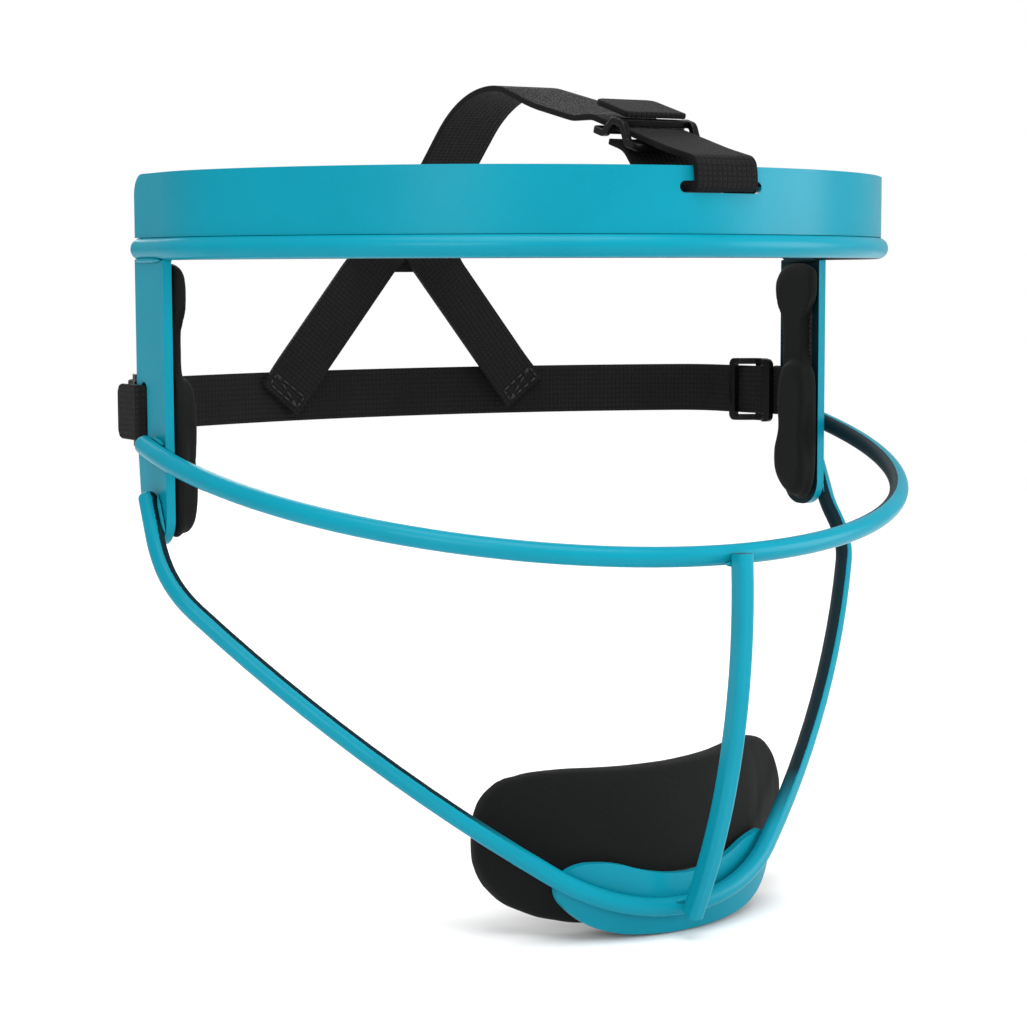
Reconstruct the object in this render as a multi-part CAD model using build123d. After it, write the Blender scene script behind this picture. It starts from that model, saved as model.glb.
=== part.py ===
from build123d import *
import math
import os

# Softball fielder's face guard: a welded steel frame with foam pads and webbing straps.
# Origin: on the symmetry plane, level with the brow rod's axis, at the front of the straight
# rear runs of that rod. The wearer looks along -Y, and +X is on the wearer's left.

# Side plates
plate_spacing = 173.0        # between the middles of the two plates
plate_thickness = 2.0
plate_width = 15.5
plate_front = 2.3            # front edge behind the origin
plate_foot = 63.0            # foot below the brow rod's axis
plate_foot_radius = 7.4
rim_width = 2.4              # metal behind the webbing slot
plate_taper = 2.4            # of the rear edge, below the slot
strap_slot_width = 3.3
strap_slot_length = 13.4

# Brow rod and forehead band
rod_diameter = 4.8
rod_end_round = 1.7
rod_rear = 18.0
rod_front = 73.0
rod_corner_angle = 20.0
bend_start = 2.0             # where the rod leaves its straight rear run
band_thickness = 1.6
band_height = 13.5           # from the top of the rod
band_corner_radius = 4.5
crown_slot_length = 20.4
crown_slot_width = 2.4
crown_slot_bridge = 3.0      # metal above the slot
crown_slot_shift = 1.8       # of the slot to the wearer's left

# Cheek wire
cheek_diameter = 4.2
cheek_front = 81.3           # in the wire's own plane
cheek_rear = 10.4
cheek_bend_start = 5.2
cheek_drop = 43.6            # below the rod's axis, at the origin
cheek_tilt_angle = 12.95
cheek_corner_angle = 46.0
wire_end_round = 1.3

# Jaw wire
jaw_diameter = 4.0
jaw_knee_rear = 3.1
jaw_knee_drop = 62.9
jaw_lead_length = 12.4       # run on the plate above the knee
jaw_lead_angle = 25.0        # from the vertical
jaw_lean_angle = 41.3        # from the vertical, below the knee
jaw_knee_radius = 18.0
jaw_stub = 1.0
jaw_depth = 96.1             # from the knee arcs to the chin, in the wire's own plane
jaw_side_radius = 26.0
jaw_flank_radius = 346.0
jaw_chin_radius = 39.8       # of the bend round the chin

# Centre bar
bar_width = 3.5
bar_depth = 4.3
bar_edge_round = 1.1
bar_bow = 5.5
bar_top_lap = 0.6            # above the cheek wire's axis
bar_foot_lap = 0.8           # below the jaw wire's axis
weld_gap = 0.05

# Chin plate
chin_plate_thickness = 1.6
chin_plate_height = 17.3
chin_plate_below = 6.0       # foot below the jaw wire's axis at the chin
chin_shift = 4.0             # of the plate and its pad to the wearer's left
chin_tilt_angle = 1.0        # of both, the left end up
chin_wrap_share = 0.735      # half width of the plate as a share of the chin bend radius

# Hook patches and pads
patch_thickness = 0.8
patch_margin = 2.2
side_pad_thickness = 4.7
side_pad_base = 2.4          # thickness of the three-lobed base layer
side_pad_length = 58.6
side_pad_width = 11.8
side_pad_top = 3.4           # below the rod's axis
pad_clearance = 0.3
chin_pad_overhang = 12.0     # past the chin plate's end on each side
chin_pad_height = 33.4
chin_pad_thickness = 12.5
chin_pad_rise = 11.8         # middle above the jaw wire's axis at the chin
forehead_pad_thickness = 7.0
forehead_pad_height = 9.8
forehead_pad_drop = 0.8      # foot below the rod's axis
forehead_pad_angle = 62.0    # half angle covered on the brow arc
forehead_pad_round = 2.6

# Back strap and the branches of the ponytail opening
webbing_thickness = 1.3
strap_width = 12.0
strap_drop = 35.0            # middle of the back strap below the rod's axis
fold_gap = 0.3               # between the webbing and the metal it is folded round
tail_length = 10.0
run_length = 23.2            # straight run that the side slide travels on
run_angle = 10.0             # inward turn of that run
strap_corner_radius = 12.6
strap_rear_angle = 25.0      # half angle of the arc round the back of the head
strap_tip_round = 2.0
branch_foot = 34.0           # half spacing of the branches on the back strap
branch_lean_angle = 38.0     # from the vertical
branch_reach = 62.0          # from the back strap's middle line to past the joint
branch_overlap = 0.8         # past the back strap's middle line
branch_leave_angle = 12.0    # where the branches leave the curve of the back strap
branch_leave_radius = 20.0
joint_height = 8.0           # of the sewn joint, above its bend
stitch_gap = 0.05

# Crown strap
crown_width = 15.0
crown_run = 48.0             # straight run that the crown slide travels on
crown_run_angle = 15.9
crown_bend_radius = 50.0
crown_slack = 17.5
crown_slack_angle = 2.5
crown_rear_radius = 45.0
crown_fall_angle = 41.0      # slope of the fall to the joint
joint_bend_radius = 7.3
joint_lap = 0.5              # below the bend
return_reach = 11.0          # level stretch behind the slot
return_bend_radius = 7.0
return_rise_angle = 47.0
return_lap = 4.0
crown_tail_length = 13.1
crown_tail_lap = 3.5         # past the rear end of the slide

# Slides
slide_clearance = 0.3
slide_thickness = 1.5
slide_bar = 1.9
slide_rail = 1.5
slide_edge_gap = 0.4         # between the webbing's edges and the rails
slide_bend_radius = 1.5
slide_ramp_angle = 50.0      # slope of the rails between the bars
slide_corner_radius = 1.6
side_slide_length = 14.0
side_slide_start = 2.6       # behind the fold
crown_slide_length = 18.0
crown_slide_start = 14.2     # behind the band

# Overrun that every cut shares
overrun = 3.0

rod_radius = rod_diameter / 2
cheek_radius = cheek_diameter / 2
jaw_radius = jaw_diameter / 2
half_spacing = plate_spacing / 2
plate_outer = half_spacing + plate_thickness / 2
plate_inner = half_spacing - plate_thickness / 2
plate_rear = plate_front + plate_width
quarter_angle = 90.0
half_circle_angle = 180.0


# Shared helpers

def arch_radii(half_width, depth, turn):
    """Radii of a half arch of two tangent arcs: the side arc turns by turn, the front arc by the rest."""
    side, lift = math.cos(math.radians(turn)), math.sin(math.radians(turn))
    front = (depth * (1 - side) - half_width * lift) / ((1 - lift) * (1 - side) - side * lift)
    return (half_width - front * side) / (1 - side), front


def arch_turns(half_width, depth, side_radius, flank_radius, front_radius):
    """Turns of the side arc and of the flank arc of a half arch of three tangent arcs."""
    across, deep = half_width - side_radius, depth - front_radius
    apart = math.hypot(across, deep)
    side_reach, front_reach = flank_radius - side_radius, flank_radius - front_radius
    near = (side_reach ** 2 - front_reach ** 2 + apart ** 2) / (2 * apart)
    off = math.sqrt(side_reach ** 2 - near ** 2)
    x = across - (near * across + off * deep) / apart
    y = (near * deep - off * across) / apart
    side_turn = math.degrees(math.atan2(-y, across - x))
    return side_turn, math.degrees(math.atan2(deep - y, -x)) - side_turn


def walk(start, heading, moves, offset=0.0):
    """Edges of a path of runs and arcs in a plane, shifted to its left by offset.

    A move is (length, 0) for a straight run or (radius, turn) for an arc, in degrees, left turns positive.
    """
    x, y = start
    edges = []
    for size, turn in moves:
        a = math.radians(heading)
        left = (-math.sin(a), math.cos(a))
        p = (x + left[0] * offset, y + left[1] * offset)
        if turn == 0:
            x, y = x + size * math.cos(a), y + size * math.sin(a)
            edges.append(Line(p, (x + left[0] * offset, y + left[1] * offset)))
            continue
        side = math.copysign(1, turn)
        cx, cy = x + left[0] * size * side, y + left[1] * size * side
        places = []
        for share in (0.5, 1.0):
            b = a + math.radians(turn * share)
            reach = size * side - offset
            places.append((cx + math.sin(b) * reach, cy - math.cos(b) * reach))
        edges.append(ThreePointArc(p, places[0], places[1]))
        heading += turn
        b = math.radians(heading)
        x, y = cx + math.sin(b) * size * side, cy - math.cos(b) * size * side
    return edges


def strip_face(start, heading, moves, thickness, shift=0.0):
    """Face of a strip bent along a path of runs and arcs, its middle shifted to the left by shift."""
    left = walk(start, heading, moves, shift + thickness / 2)
    right = walk(start, heading, moves, shift - thickness / 2)
    ends = [Line(left[0] @ 0, right[0] @ 0), Line(left[-1] @ 1, right[-1] @ 1)]
    return Face(Wire(left + right + ends))


def both_sides(solid):
    """The solid and its mirror image across the symmetry plane."""
    return solid, mirror(solid, about=Plane.YZ)


# Welded steel frame

def brow_moves(rear_length):
    """The brow line's path from the right rear end to the left one."""
    side, front = arch_radii(half_spacing, rod_front + bend_start, rod_corner_angle)
    front_turn = 2 * (quarter_angle - rod_corner_angle)
    return [
        (rear_length, 0),
        (side, -rod_corner_angle),
        (front, -front_turn),
        (side, -rod_corner_angle),
        (rear_length, 0),
    ]


def make_brow_rod():
    """Round rod bent round the brow, with rounded ends."""
    path = Wire(walk((half_spacing, rod_rear), -quarter_angle, brow_moves(rod_rear - bend_start)))
    section = Plane(origin=path @ 0, z_dir=path % 0) * Circle(rod_radius)
    rod = sweep(section, path=path)
    ends = rod.edges().filter_by(GeomType.CIRCLE).sort_by(Axis.Y)[-2:]
    return fillet(ends, rod_end_round)


def make_forehead_band():
    """Upright sheet on top of the rod, with rounded rear corners and the crown webbing's slot."""
    moves = brow_moves(rod_rear - bend_start)
    plan = strip_face((half_spacing, rod_rear), -quarter_angle, moves, band_thickness)
    band = Pos(0, 0, rod_radius) * extrude(plan, band_height, dir=(0, 0, 1))
    top = rod_radius + band_height
    corners = [
        edge for edge in band.edges()
        if edge.center().Y > rod_rear - band_thickness and edge.center().Z > top - band_thickness
        and abs(edge.length - band_thickness) < band_thickness / 2
    ]
    band = fillet(corners, band_corner_radius)
    slot = Plane.XZ * SlotOverall(crown_slot_length, crown_slot_width)
    cut = extrude(slot, 2 * overrun, both=True)
    return band - Pos(crown_slot_shift, -rod_front, crown_slot_height()) * cut


def crown_slot_height():
    """Height of the crown slot's middle above the rod's axis."""
    return rod_radius + band_height - crown_slot_bridge - crown_slot_width / 2


def make_side_plate():
    """Flat upright plate, tapered below the back strap's slot to a rounded foot."""
    slot_foot = strap_drop + strap_slot_length / 2
    corners = [
        (plate_front, -rod_radius), (plate_rear, -rod_radius), (plate_rear, -slot_foot),
        (plate_rear - plate_taper, -plate_foot), (plate_front, -plate_foot),
    ]
    outline = Face(Wire.make_polygon([Vector(y, z, 0) for y, z in corners], close=True))
    outline = fillet(outline.vertices().sort_by(Axis.Y)[:2], plate_foot_radius - plate_taper / 2)
    slot_y = plate_rear - rim_width - strap_slot_width / 2
    slot = Rot(0, 0, quarter_angle) * SlotOverall(strap_slot_length, strap_slot_width)
    outline -= Pos(slot_y, -strap_drop) * slot
    return Pos(half_spacing, 0, 0) * extrude(Plane.YZ * outline, plate_thickness / 2, both=True)


def cheek_plane():
    """The plane that the cheek wire is bent in."""
    tilt = math.radians(cheek_tilt_angle)
    return Plane(origin=(0, 0, -cheek_drop), x_dir=(1, 0, 0), z_dir=(0, -math.sin(tilt), math.cos(tilt)))


def make_cheek_wire():
    """Round wire bent in one tilted plane, its ends welded on the outside of the plates."""
    half_width = plate_outer + cheek_radius + weld_gap
    side, front = arch_radii(half_width, cheek_front + cheek_bend_start, cheek_corner_angle)
    moves = [
        (cheek_rear - cheek_bend_start, 0),
        (side, -cheek_corner_angle),
        (front, -2 * (quarter_angle - cheek_corner_angle)),
        (side, -cheek_corner_angle),
        (cheek_rear - cheek_bend_start, 0),
    ]
    path = cheek_plane() * Wire(walk((half_width, cheek_rear), -quarter_angle, moves))
    section = Plane(origin=path @ 0, z_dir=path % 0) * Circle(cheek_radius)
    wire = sweep(section, path=path)
    ends = wire.edges().filter_by(GeomType.CIRCLE).sort_by(Axis.Y)[-2:]
    return fillet(ends, wire_end_round)


def cheek_front_point():
    """Where the cheek wire's axis crosses the symmetry plane."""
    tilt = math.radians(cheek_tilt_angle)
    return Vector(0, -cheek_front * math.cos(tilt), -cheek_drop - cheek_front * math.sin(tilt))


def jaw_slope():
    """Direction of the jaw wire's plane from the knee to the chin."""
    lean = math.radians(jaw_lean_angle)
    return Vector(0, -math.sin(lean), -math.cos(lean))


def knee_trim():
    """Length that the bend at the knee takes from each of its two runs."""
    return jaw_knee_radius * math.tan(math.radians((jaw_lean_angle - jaw_lead_angle) / 2))


def make_jaw_wire():
    """Round wire from the plates, round a knee on each side, to the chin."""
    half_width = plate_outer + jaw_radius + weld_gap
    knee = Vector(half_width, jaw_knee_rear, -jaw_knee_drop)
    lead_angle = math.radians(jaw_lead_angle)
    lead = Vector(0, math.sin(lead_angle), math.cos(lead_angle))
    slope, trim = jaw_slope(), knee_trim()
    top, bend_top, bend_foot = knee + lead * jaw_lead_length, knee + lead * trim, knee + slope * trim
    radii = (jaw_side_radius, jaw_flank_radius, jaw_chin_radius)
    side_turn, flank_turn = arch_turns(half_width, jaw_depth, *radii)
    chin_turn = 2 * (quarter_angle - side_turn - flank_turn)
    moves = [
        (jaw_stub, 0),
        (jaw_side_radius, -side_turn),
        (jaw_flank_radius, -flank_turn),
        (jaw_chin_radius, -chin_turn),
        (jaw_flank_radius, -flank_turn),
        (jaw_side_radius, -side_turn),
        (jaw_stub, 0),
    ]
    plane = Plane(origin=(0, bend_foot.Y, bend_foot.Z), x_dir=(1, 0, 0), z_dir=(0, slope.Z, -slope.Y))
    arch = (plane * Wire(walk((half_width, 0), -quarter_angle, moves))).edges()
    near = Wire([Line(top, bend_top), TangentArc(bend_top, bend_foot, tangent=lead * -1)])
    path = Wire(near.edges() + arch + mirror(near, about=Plane.YZ).edges())
    section = Plane(origin=top, z_dir=lead * -1) * Circle(jaw_radius)
    wire = sweep(section, path=path)
    ends = wire.edges().filter_by(GeomType.CIRCLE).sort_by(Axis.Z)[-2:]
    return fillet(ends, wire_end_round)


def chin_front_point():
    """Where the jaw wire's axis crosses the symmetry plane."""
    reach = knee_trim() + jaw_stub + jaw_depth
    return Vector(0, jaw_knee_rear, -jaw_knee_drop) + jaw_slope() * reach


def make_centre_bar():
    """Bowed flat bar lapped on the front of the cheek wire and of the jaw wire."""
    lap = bar_depth / 2 + weld_gap
    top = cheek_front_point() + Vector(0, -cheek_radius - lap, bar_top_lap)
    foot = chin_front_point() + Vector(0, -jaw_radius - lap, -bar_foot_lap)
    chord = foot - top
    out = Vector(0, chord.Z, -chord.Y).normalized()
    middle = (top + foot) * 0.5 + out * bar_bow
    path = ThreePointArc(top, middle, foot)
    plane = Plane(origin=top, x_dir=(1, 0, 0), z_dir=path % 0)
    bar = sweep(plane * RectangleRounded(bar_width, bar_depth, bar_edge_round), path=path)
    return bar


chin_outline_shares = [
    (0.0, 0.0), (0.28, 0.012), (0.52, 0.05),
    (0.66, 0.105), (0.77, 0.175),
    (0.88, 0.30), (0.955, 0.44),
    (1.0, 0.64), (0.965, 0.815),
    (0.89, 0.91), (0.76, 0.955),
    (0.62, 0.935), (0.47, 0.86),
    (0.24, 0.755), (0.0, 0.71),
]
wall_span_share = 1.35


def chin_half_width():
    """Half width of the chin plate, which keeps to the round of the wire's chin bend."""
    return jaw_chin_radius * chin_wrap_share


def chin_plate_radius():
    """Radius of the plate's outer face in plan: as bowed as the wire's inside, seen from above."""
    inside = jaw_radius + weld_gap
    across = jaw_chin_radius - inside
    deep = jaw_chin_radius * math.sin(math.radians(jaw_lean_angle)) - inside
    sag = deep * (1 - math.sqrt(1 - (chin_half_width() / across) ** 2))
    return (chin_half_width() ** 2 + sag ** 2) / (2 * sag)


def chin_outline():
    """Front view of the chin plate: a deep foot, round ends and two raised lobes with a dip between."""
    foot = chin_front_point().Z - chin_plate_below
    places = [(chin_half_width() * x, chin_plate_height * z) for x, z in chin_outline_shares]
    half = Wire([ThreePointArc(*places[i:i + 3]) for i in range(0, len(places) - 1, 2)])
    outline = Face(Wire(half.edges() + mirror(half, about=Plane.YZ).edges()))
    return Pos(chin_shift, foot) * Rot(0, 0, chin_tilt_angle) * outline


def chin_wall(thickness, inset, outline):
    """A wall curved round the chin, inset behind the jaw wire and cut to a front outline."""
    radius = chin_plate_radius() - inset
    middle_y = chin_front_point().Y + jaw_radius + weld_gap + chin_plate_radius()
    span = 2 * math.degrees(math.asin(chin_half_width() / radius)) * wall_span_share
    start_angle = -quarter_angle + span / 2
    a = math.radians(start_angle)
    start = ((radius - thickness / 2) * math.cos(a), middle_y + (radius - thickness / 2) * math.sin(a))
    plan = strip_face(start, start_angle - quarter_angle, [(radius - thickness / 2, -span)], thickness)
    foot = chin_front_point().Z - chin_plate_below - overrun
    wall = Pos(0, 0, foot) * extrude(plan, chin_plate_height + 2 * overrun, dir=(0, 0, 1))
    front = Plane.XZ * outline
    prism = Pos(0, middle_y, 0) * extrude(front, 2 * chin_plate_radius(), both=True)
    return wall & prism


def make_chin_plate():
    """Curved sheet on the inside of the jaw wire."""
    return chin_wall(chin_plate_thickness, 0, chin_outline())


# Padding and its hook patches

def make_chin_patch():
    """Hook patch on the inside of the chin plate."""
    outline = offset(chin_outline(), amount=-patch_margin)
    return chin_wall(patch_thickness, chin_plate_thickness, outline)


# Across, then height, thickness and lift of each section, from the middle to one end
chin_pad_shares = [
    (0.0, 1.0, 1.0, 0.0),
    (0.28, 1.0, 1.0, 0.005),
    (0.55, 0.99, 0.98, 0.022),
    (0.72, 0.93, 0.92, 0.04),
    (0.86, 0.8, 0.8, 0.058),
    (0.95, 0.57, 0.6, 0.07),
    (1.0, 0.3, 0.36, 0.072),
]
chin_shoulder_share = 0.8
chin_crown_share = 0.9


def chin_pad_back(x):
    """How far the pad's outer face lies behind its middle at x: with the plate, then straight on."""
    radius = chin_plate_radius() - chin_plate_thickness - patch_thickness - 2 * pad_clearance
    edge = min(abs(x), chin_half_width())
    slope = edge / math.sqrt(radius ** 2 - edge ** 2)
    return radius - math.sqrt(radius ** 2 - edge ** 2) + (abs(x) - edge) * slope


def chin_pad_section(across, tall, thick, lift):
    """Upright section of the chin pad: crowned faces and full, rounded top and bottom."""
    front = chin_front_point().Y + jaw_radius + weld_gap
    front += chin_plate_thickness + patch_thickness + pad_clearance
    half_height = chin_pad_height * tall / 2
    half_thick = chin_pad_thickness * thick / 2
    reach = (chin_half_width() + chin_pad_overhang) * across
    x = chin_shift + reach
    y = front + chin_pad_back(x) + half_thick
    z = chin_front_point().Z + chin_pad_rise + chin_pad_height * lift
    z += reach * math.tan(math.radians(chin_tilt_angle))
    shoulder, crown = half_height * chin_shoulder_share, half_thick * chin_crown_share
    corners = [(-crown, shoulder), (crown, shoulder), (crown, -shoulder), (-crown, -shoulder)]
    bulges = [(0, half_height), (half_thick, 0), (0, -half_height), (-half_thick, 0)]
    edges = []
    for i, bulge in enumerate(bulges):
        a, b = corners[i], corners[(i + 1) % len(corners)]
        places = [Vector(x, y + p[0], z + p[1]) for p in (a, bulge, b)]
        edges.append(ThreePointArc(*places))
    return Face(Wire(edges))


def make_chin_pad():
    """Foam cup that wraps the chin, thin and drawn in at its two ends."""
    far = [(-row[0], *row[1:]) for row in reversed(chin_pad_shares[1:])]
    return loft([chin_pad_section(*row) for row in far + chin_pad_shares])


# Across and down, round the outline of the side pad's base from its top front corner
side_base_shares = [
    (0.06, 0.03), (0.55, 0.0), (1.08, 0.02),
    (1.30, 0.085), (1.22, 0.16),
    (1.08, 0.20), (1.02, 0.26),
    (1.0, 0.33), (1.01, 0.40),
    (0.97, 0.52), (0.98, 0.66),
    (1.13, 0.82), (0.86, 0.955),
    (0.46, 1.0), (0.14, 0.955),
    (0.03, 0.80), (0.04, 0.60),
    (0.06, 0.50), (0.20, 0.425),
    (0.31, 0.37), (0.32, 0.30),
    (0.31, 0.23), (0.20, 0.185),
    (0.06, 0.14), (0.03, 0.09),
    (0.035, 0.055),
]
# The same for the thick cushion on the two lower lobes
side_cushion_shares = [
    (0.17, 0.445), (0.50, 0.41), (0.84, 0.44),
    (0.96, 0.56), (0.93, 0.70),
    (1.08, 0.82), (0.82, 0.945),
    (0.45, 0.985), (0.17, 0.945),
    (0.05, 0.85), (0.12, 0.745),
    (0.16, 0.72), (0.12, 0.695),
    (0.06, 0.56),
]
side_middle_share = 0.5
cushion_middle_share = 0.7
# Depth from the plate as a share of the thickness, then the outline's size
base_layer_shares = [(0.0, 0.97), (0.3, 1.0), (0.65, 0.99), (1.0, 0.9)]
cushion_layer_shares = [(0.3, 0.97), (0.5, 1.0), (0.75, 0.985), (0.92, 0.93), (1.0, 0.78)]
side_patch_width_share = 0.5
side_patch_length_share = 0.8


def side_pad_section(outline, middle, depth, size):
    """Upright outline of one layer of a side pad, at a depth from the plate, scaled about its middle."""
    front, top = plate_front - patch_margin / 2, -side_pad_top
    x = plate_inner - patch_thickness - depth
    points = []
    for across, down in outline:
        y = front + side_pad_width * (side_middle_share + (across - side_middle_share) * size)
        z = top - side_pad_length * (middle + (down - middle) * size)
        points.append(Vector(x, y, z))
    edges = []
    for i in range(0, len(points), 2):
        edges.append(ThreePointArc(points[i], points[i + 1], points[(i + 2) % len(points)]))
    return Face(Wire(edges))


def make_side_pad():
    """Foam pad on the inside of the plate: a thin base of three lobes and a crowned cushion on two."""
    base = loft([
        side_pad_section(side_base_shares, side_middle_share, side_pad_base * deep, size)
        for deep, size in base_layer_shares
    ])
    cushion = loft([
        side_pad_section(side_cushion_shares, cushion_middle_share, side_pad_thickness * deep, size)
        for deep, size in cushion_layer_shares
    ])
    return base + cushion


def make_side_patch():
    """Hook patch between the plate and the side pad, in front of the webbing slot."""
    width = side_pad_width * side_patch_width_share
    height = side_pad_length * side_patch_length_share
    y = plate_front + patch_margin + width / 2
    z = -side_pad_top - side_pad_length / 2
    patch = Box(patch_thickness, width, height)
    patch = fillet(patch.edges().filter_by(Axis.X), width / 3)
    return Pos(plate_inner - patch_thickness / 2, y, z) * patch


def brow_arc(inset, half_angle, thickness):
    """Plan of a strip that follows the front arc of the brow line on its inside."""
    front = arch_radii(half_spacing, rod_front + bend_start, rod_corner_angle)[1]
    radius = front - inset - thickness / 2
    middle_y = front - rod_front
    a = math.radians(-quarter_angle + half_angle)
    start = (radius * math.cos(a), middle_y + radius * math.sin(a))
    return strip_face(start, -half_circle_angle + half_angle, [(radius, -2 * half_angle)], thickness)


def make_forehead_patch():
    """Hook strip on the inside of the band, below the crown slot."""
    plan = brow_arc(band_thickness / 2, forehead_pad_angle - patch_margin, patch_thickness)
    height = forehead_pad_height - forehead_pad_drop - rod_radius
    return Pos(0, 0, rod_radius) * extrude(plan, height, dir=(0, 0, 1))


def make_forehead_pad():
    """Foam strip round the inside of the brow, clear of the rod below and of the slot above."""
    plan = brow_arc(rod_radius + pad_clearance, forehead_pad_angle, forehead_pad_thickness)
    pad = Pos(0, 0, -forehead_pad_drop) * extrude(plan, forehead_pad_height, dir=(0, 0, 1))
    return fillet(pad.edges(), forehead_pad_round)


# Webbing

def fold_radius():
    """Middle radius of the webbing's fold round the plate's rim."""
    return plate_thickness / 2 + fold_gap + webbing_thickness / 2


def fold_centre_y():
    """Centre of that fold, just behind the rim's front face."""
    return plate_rear - rim_width + fold_gap / 2


def strap_corner_turn():
    """Turn of the back strap's corners."""
    return quarter_angle - run_angle - strap_rear_angle


def run_start():
    """Plan point where the straight run of the back strap leaves the fold, on the +X side."""
    a = math.radians(run_angle)
    return (half_spacing - fold_radius() * math.cos(a), fold_centre_y() - fold_radius() * math.sin(a))


def strap_rear_radius():
    """Radius of the arc round the back of the head, which closes the strap on the symmetry plane."""
    a, b = math.radians(run_angle), math.radians(quarter_angle - strap_rear_angle)
    width = run_start()[0] - run_length * math.sin(a)
    width -= strap_corner_radius * (math.cos(a) - math.cos(b))
    return width / math.cos(b)


def strap_rear():
    """How far behind the origin the back strap's middle lies on the symmetry plane."""
    a, b = math.radians(run_angle), math.radians(quarter_angle - strap_rear_angle)
    y = run_start()[1] + run_length * math.cos(a)
    y += strap_corner_radius * (math.sin(b) - math.sin(a))
    return y + strap_rear_radius() * (1 - math.sin(b))


def make_back_strap():
    """Level strap with both ends folded round the plates' rims and turned back outside them."""
    fold_turn = half_circle_angle - run_angle
    moves = [
        (tail_length, 0),
        (fold_radius(), -fold_turn),
        (run_length, 0),
        (strap_corner_radius, strap_corner_turn()),
        (strap_rear_radius(), 2 * strap_rear_angle),
        (strap_corner_radius, strap_corner_turn()),
        (run_length, 0),
        (fold_radius(), -fold_turn),
        (tail_length, 0),
    ]
    start = (half_spacing + fold_radius(), fold_centre_y() + tail_length)
    plan = strip_face(start, -quarter_angle, moves, webbing_thickness)
    strap = Pos(0, 0, -strap_drop - strap_width / 2) * extrude(plan, strap_width, dir=(0, 0, 1))
    tips = [
        edge for edge in strap.edges()
        if abs(edge.length - webbing_thickness) < webbing_thickness / 10
        and abs(edge.center().X) > half_spacing
    ]
    return fillet(tips, strap_tip_round)


def branch_outline():
    """Front view of a branch: a slanted strap, cut on the symmetry plane."""
    strap = Rectangle(strap_width, branch_reach + branch_overlap)
    strap = Pos(0, (branch_reach - branch_overlap) / 2) * strap
    strap = Pos(branch_foot, -strap_drop) * Rot(0, 0, branch_lean_angle) * strap
    keep = Pos(stitch_gap / 2, 0) * Rectangle(half_spacing, plate_spacing, align=(Align.MIN, Align.CENTER))
    return strap & keep


def branch_joint_y():
    """Middle of the branches' webbing below the joint, on the symmetry plane."""
    a = math.radians(branch_leave_angle)
    radius = strap_rear_radius()
    y = strap_rear() - radius + (radius - webbing_thickness - stitch_gap) * math.cos(a)
    return y + branch_leave_radius * (1 - math.cos(a))


def make_branch():
    """Slanting strap on the head's side of the back strap, up to the joint, where it bends forward."""
    radius = strap_rear_radius() - webbing_thickness - stitch_gap
    middle_y = strap_rear() - strap_rear_radius()
    a, leave = math.radians(strap_rear_angle), math.radians(branch_leave_angle)
    start = (radius * math.sin(a), middle_y + radius * math.cos(a))
    straight = (radius - branch_leave_radius) * math.sin(leave)
    moves = [
        (radius, strap_rear_angle - branch_leave_angle),
        (branch_leave_radius, branch_leave_angle),
        (straight, 0),
    ]
    plan = strip_face(start, half_circle_angle - strap_rear_angle, moves, webbing_thickness)
    bend_z = crown_foot_height()
    lower = Pos(0, 0, bend_z) * extrude(plan, plate_spacing, dir=(0, 0, -1))
    bend = joint_bend_radius - webbing_thickness - stitch_gap
    over = [(bend, quarter_angle - crown_fall_angle), (joint_height, 0)]
    upper = strip_face((branch_joint_y(), bend_z), quarter_angle, over, webbing_thickness)
    upper = extrude(Plane.YZ * upper, half_spacing, both=True)
    prism = extrude(Plane.XZ * branch_outline(), 2 * plate_spacing, both=True)
    return (lower + upper) & prism


def slide_level():
    """Distance from the middle of the webbing to the middle of a slide's bars."""
    return webbing_thickness / 2 + slide_clearance + slide_thickness / 2


def layer_level():
    """Distance from the middle of the webbing to that of a second layer on the slide's other side."""
    return slide_level() + slide_thickness / 2 + slide_clearance + webbing_thickness / 2


def crown_run_start():
    """Where the crown strap's straight run starts behind the band, as (y, z)."""
    radius = band_thickness / 2 + fold_gap + webbing_thickness / 2
    a = math.radians(crown_run_angle)
    return (-rod_front - radius * math.sin(a), rod_radius + band_height + radius * math.cos(a))


def crown_fall_length():
    """Length of the fall that brings the crown strap's foot onto the outside of the joint."""
    run, slack, fall = (math.radians(v) for v in (crown_run_angle, crown_slack_angle, crown_fall_angle))
    y = crown_run_start()[0] + crown_run * math.cos(run)
    y += crown_bend_radius * (math.sin(run) - math.sin(slack))
    y += crown_slack * math.cos(slack)
    y += crown_rear_radius * (math.sin(slack) + math.sin(fall))
    y += joint_bend_radius * (1 - math.sin(fall))
    return (branch_joint_y() + webbing_thickness + stitch_gap - y) / math.cos(fall)


def crown_moves():
    """Path of the crown strap from the slot's front, up over the band, to the joint."""
    lip = band_thickness / 2 + fold_gap + webbing_thickness / 2
    return [
        (crown_slot_bridge, 0),
        (lip, crown_run_angle - quarter_angle),
        (crown_run, 0),
        (crown_bend_radius, crown_slack_angle - crown_run_angle),
        (crown_slack, 0),
        (crown_rear_radius, -crown_slack_angle - crown_fall_angle),
        (crown_fall_length(), 0),
        (joint_bend_radius, crown_fall_angle - quarter_angle),
    ]


def crown_start():
    """Where that path starts, just outside the band's front, as (y, z)."""
    return (-rod_front - band_thickness / 2 - fold_gap - webbing_thickness / 2, slot_top())


def crown_foot_height():
    """Height at which the crown strap's fall has turned down, which is the foot of the joint's bend."""
    return (walk(crown_start(), quarter_angle, crown_moves())[-1] @ 1).Y


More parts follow.
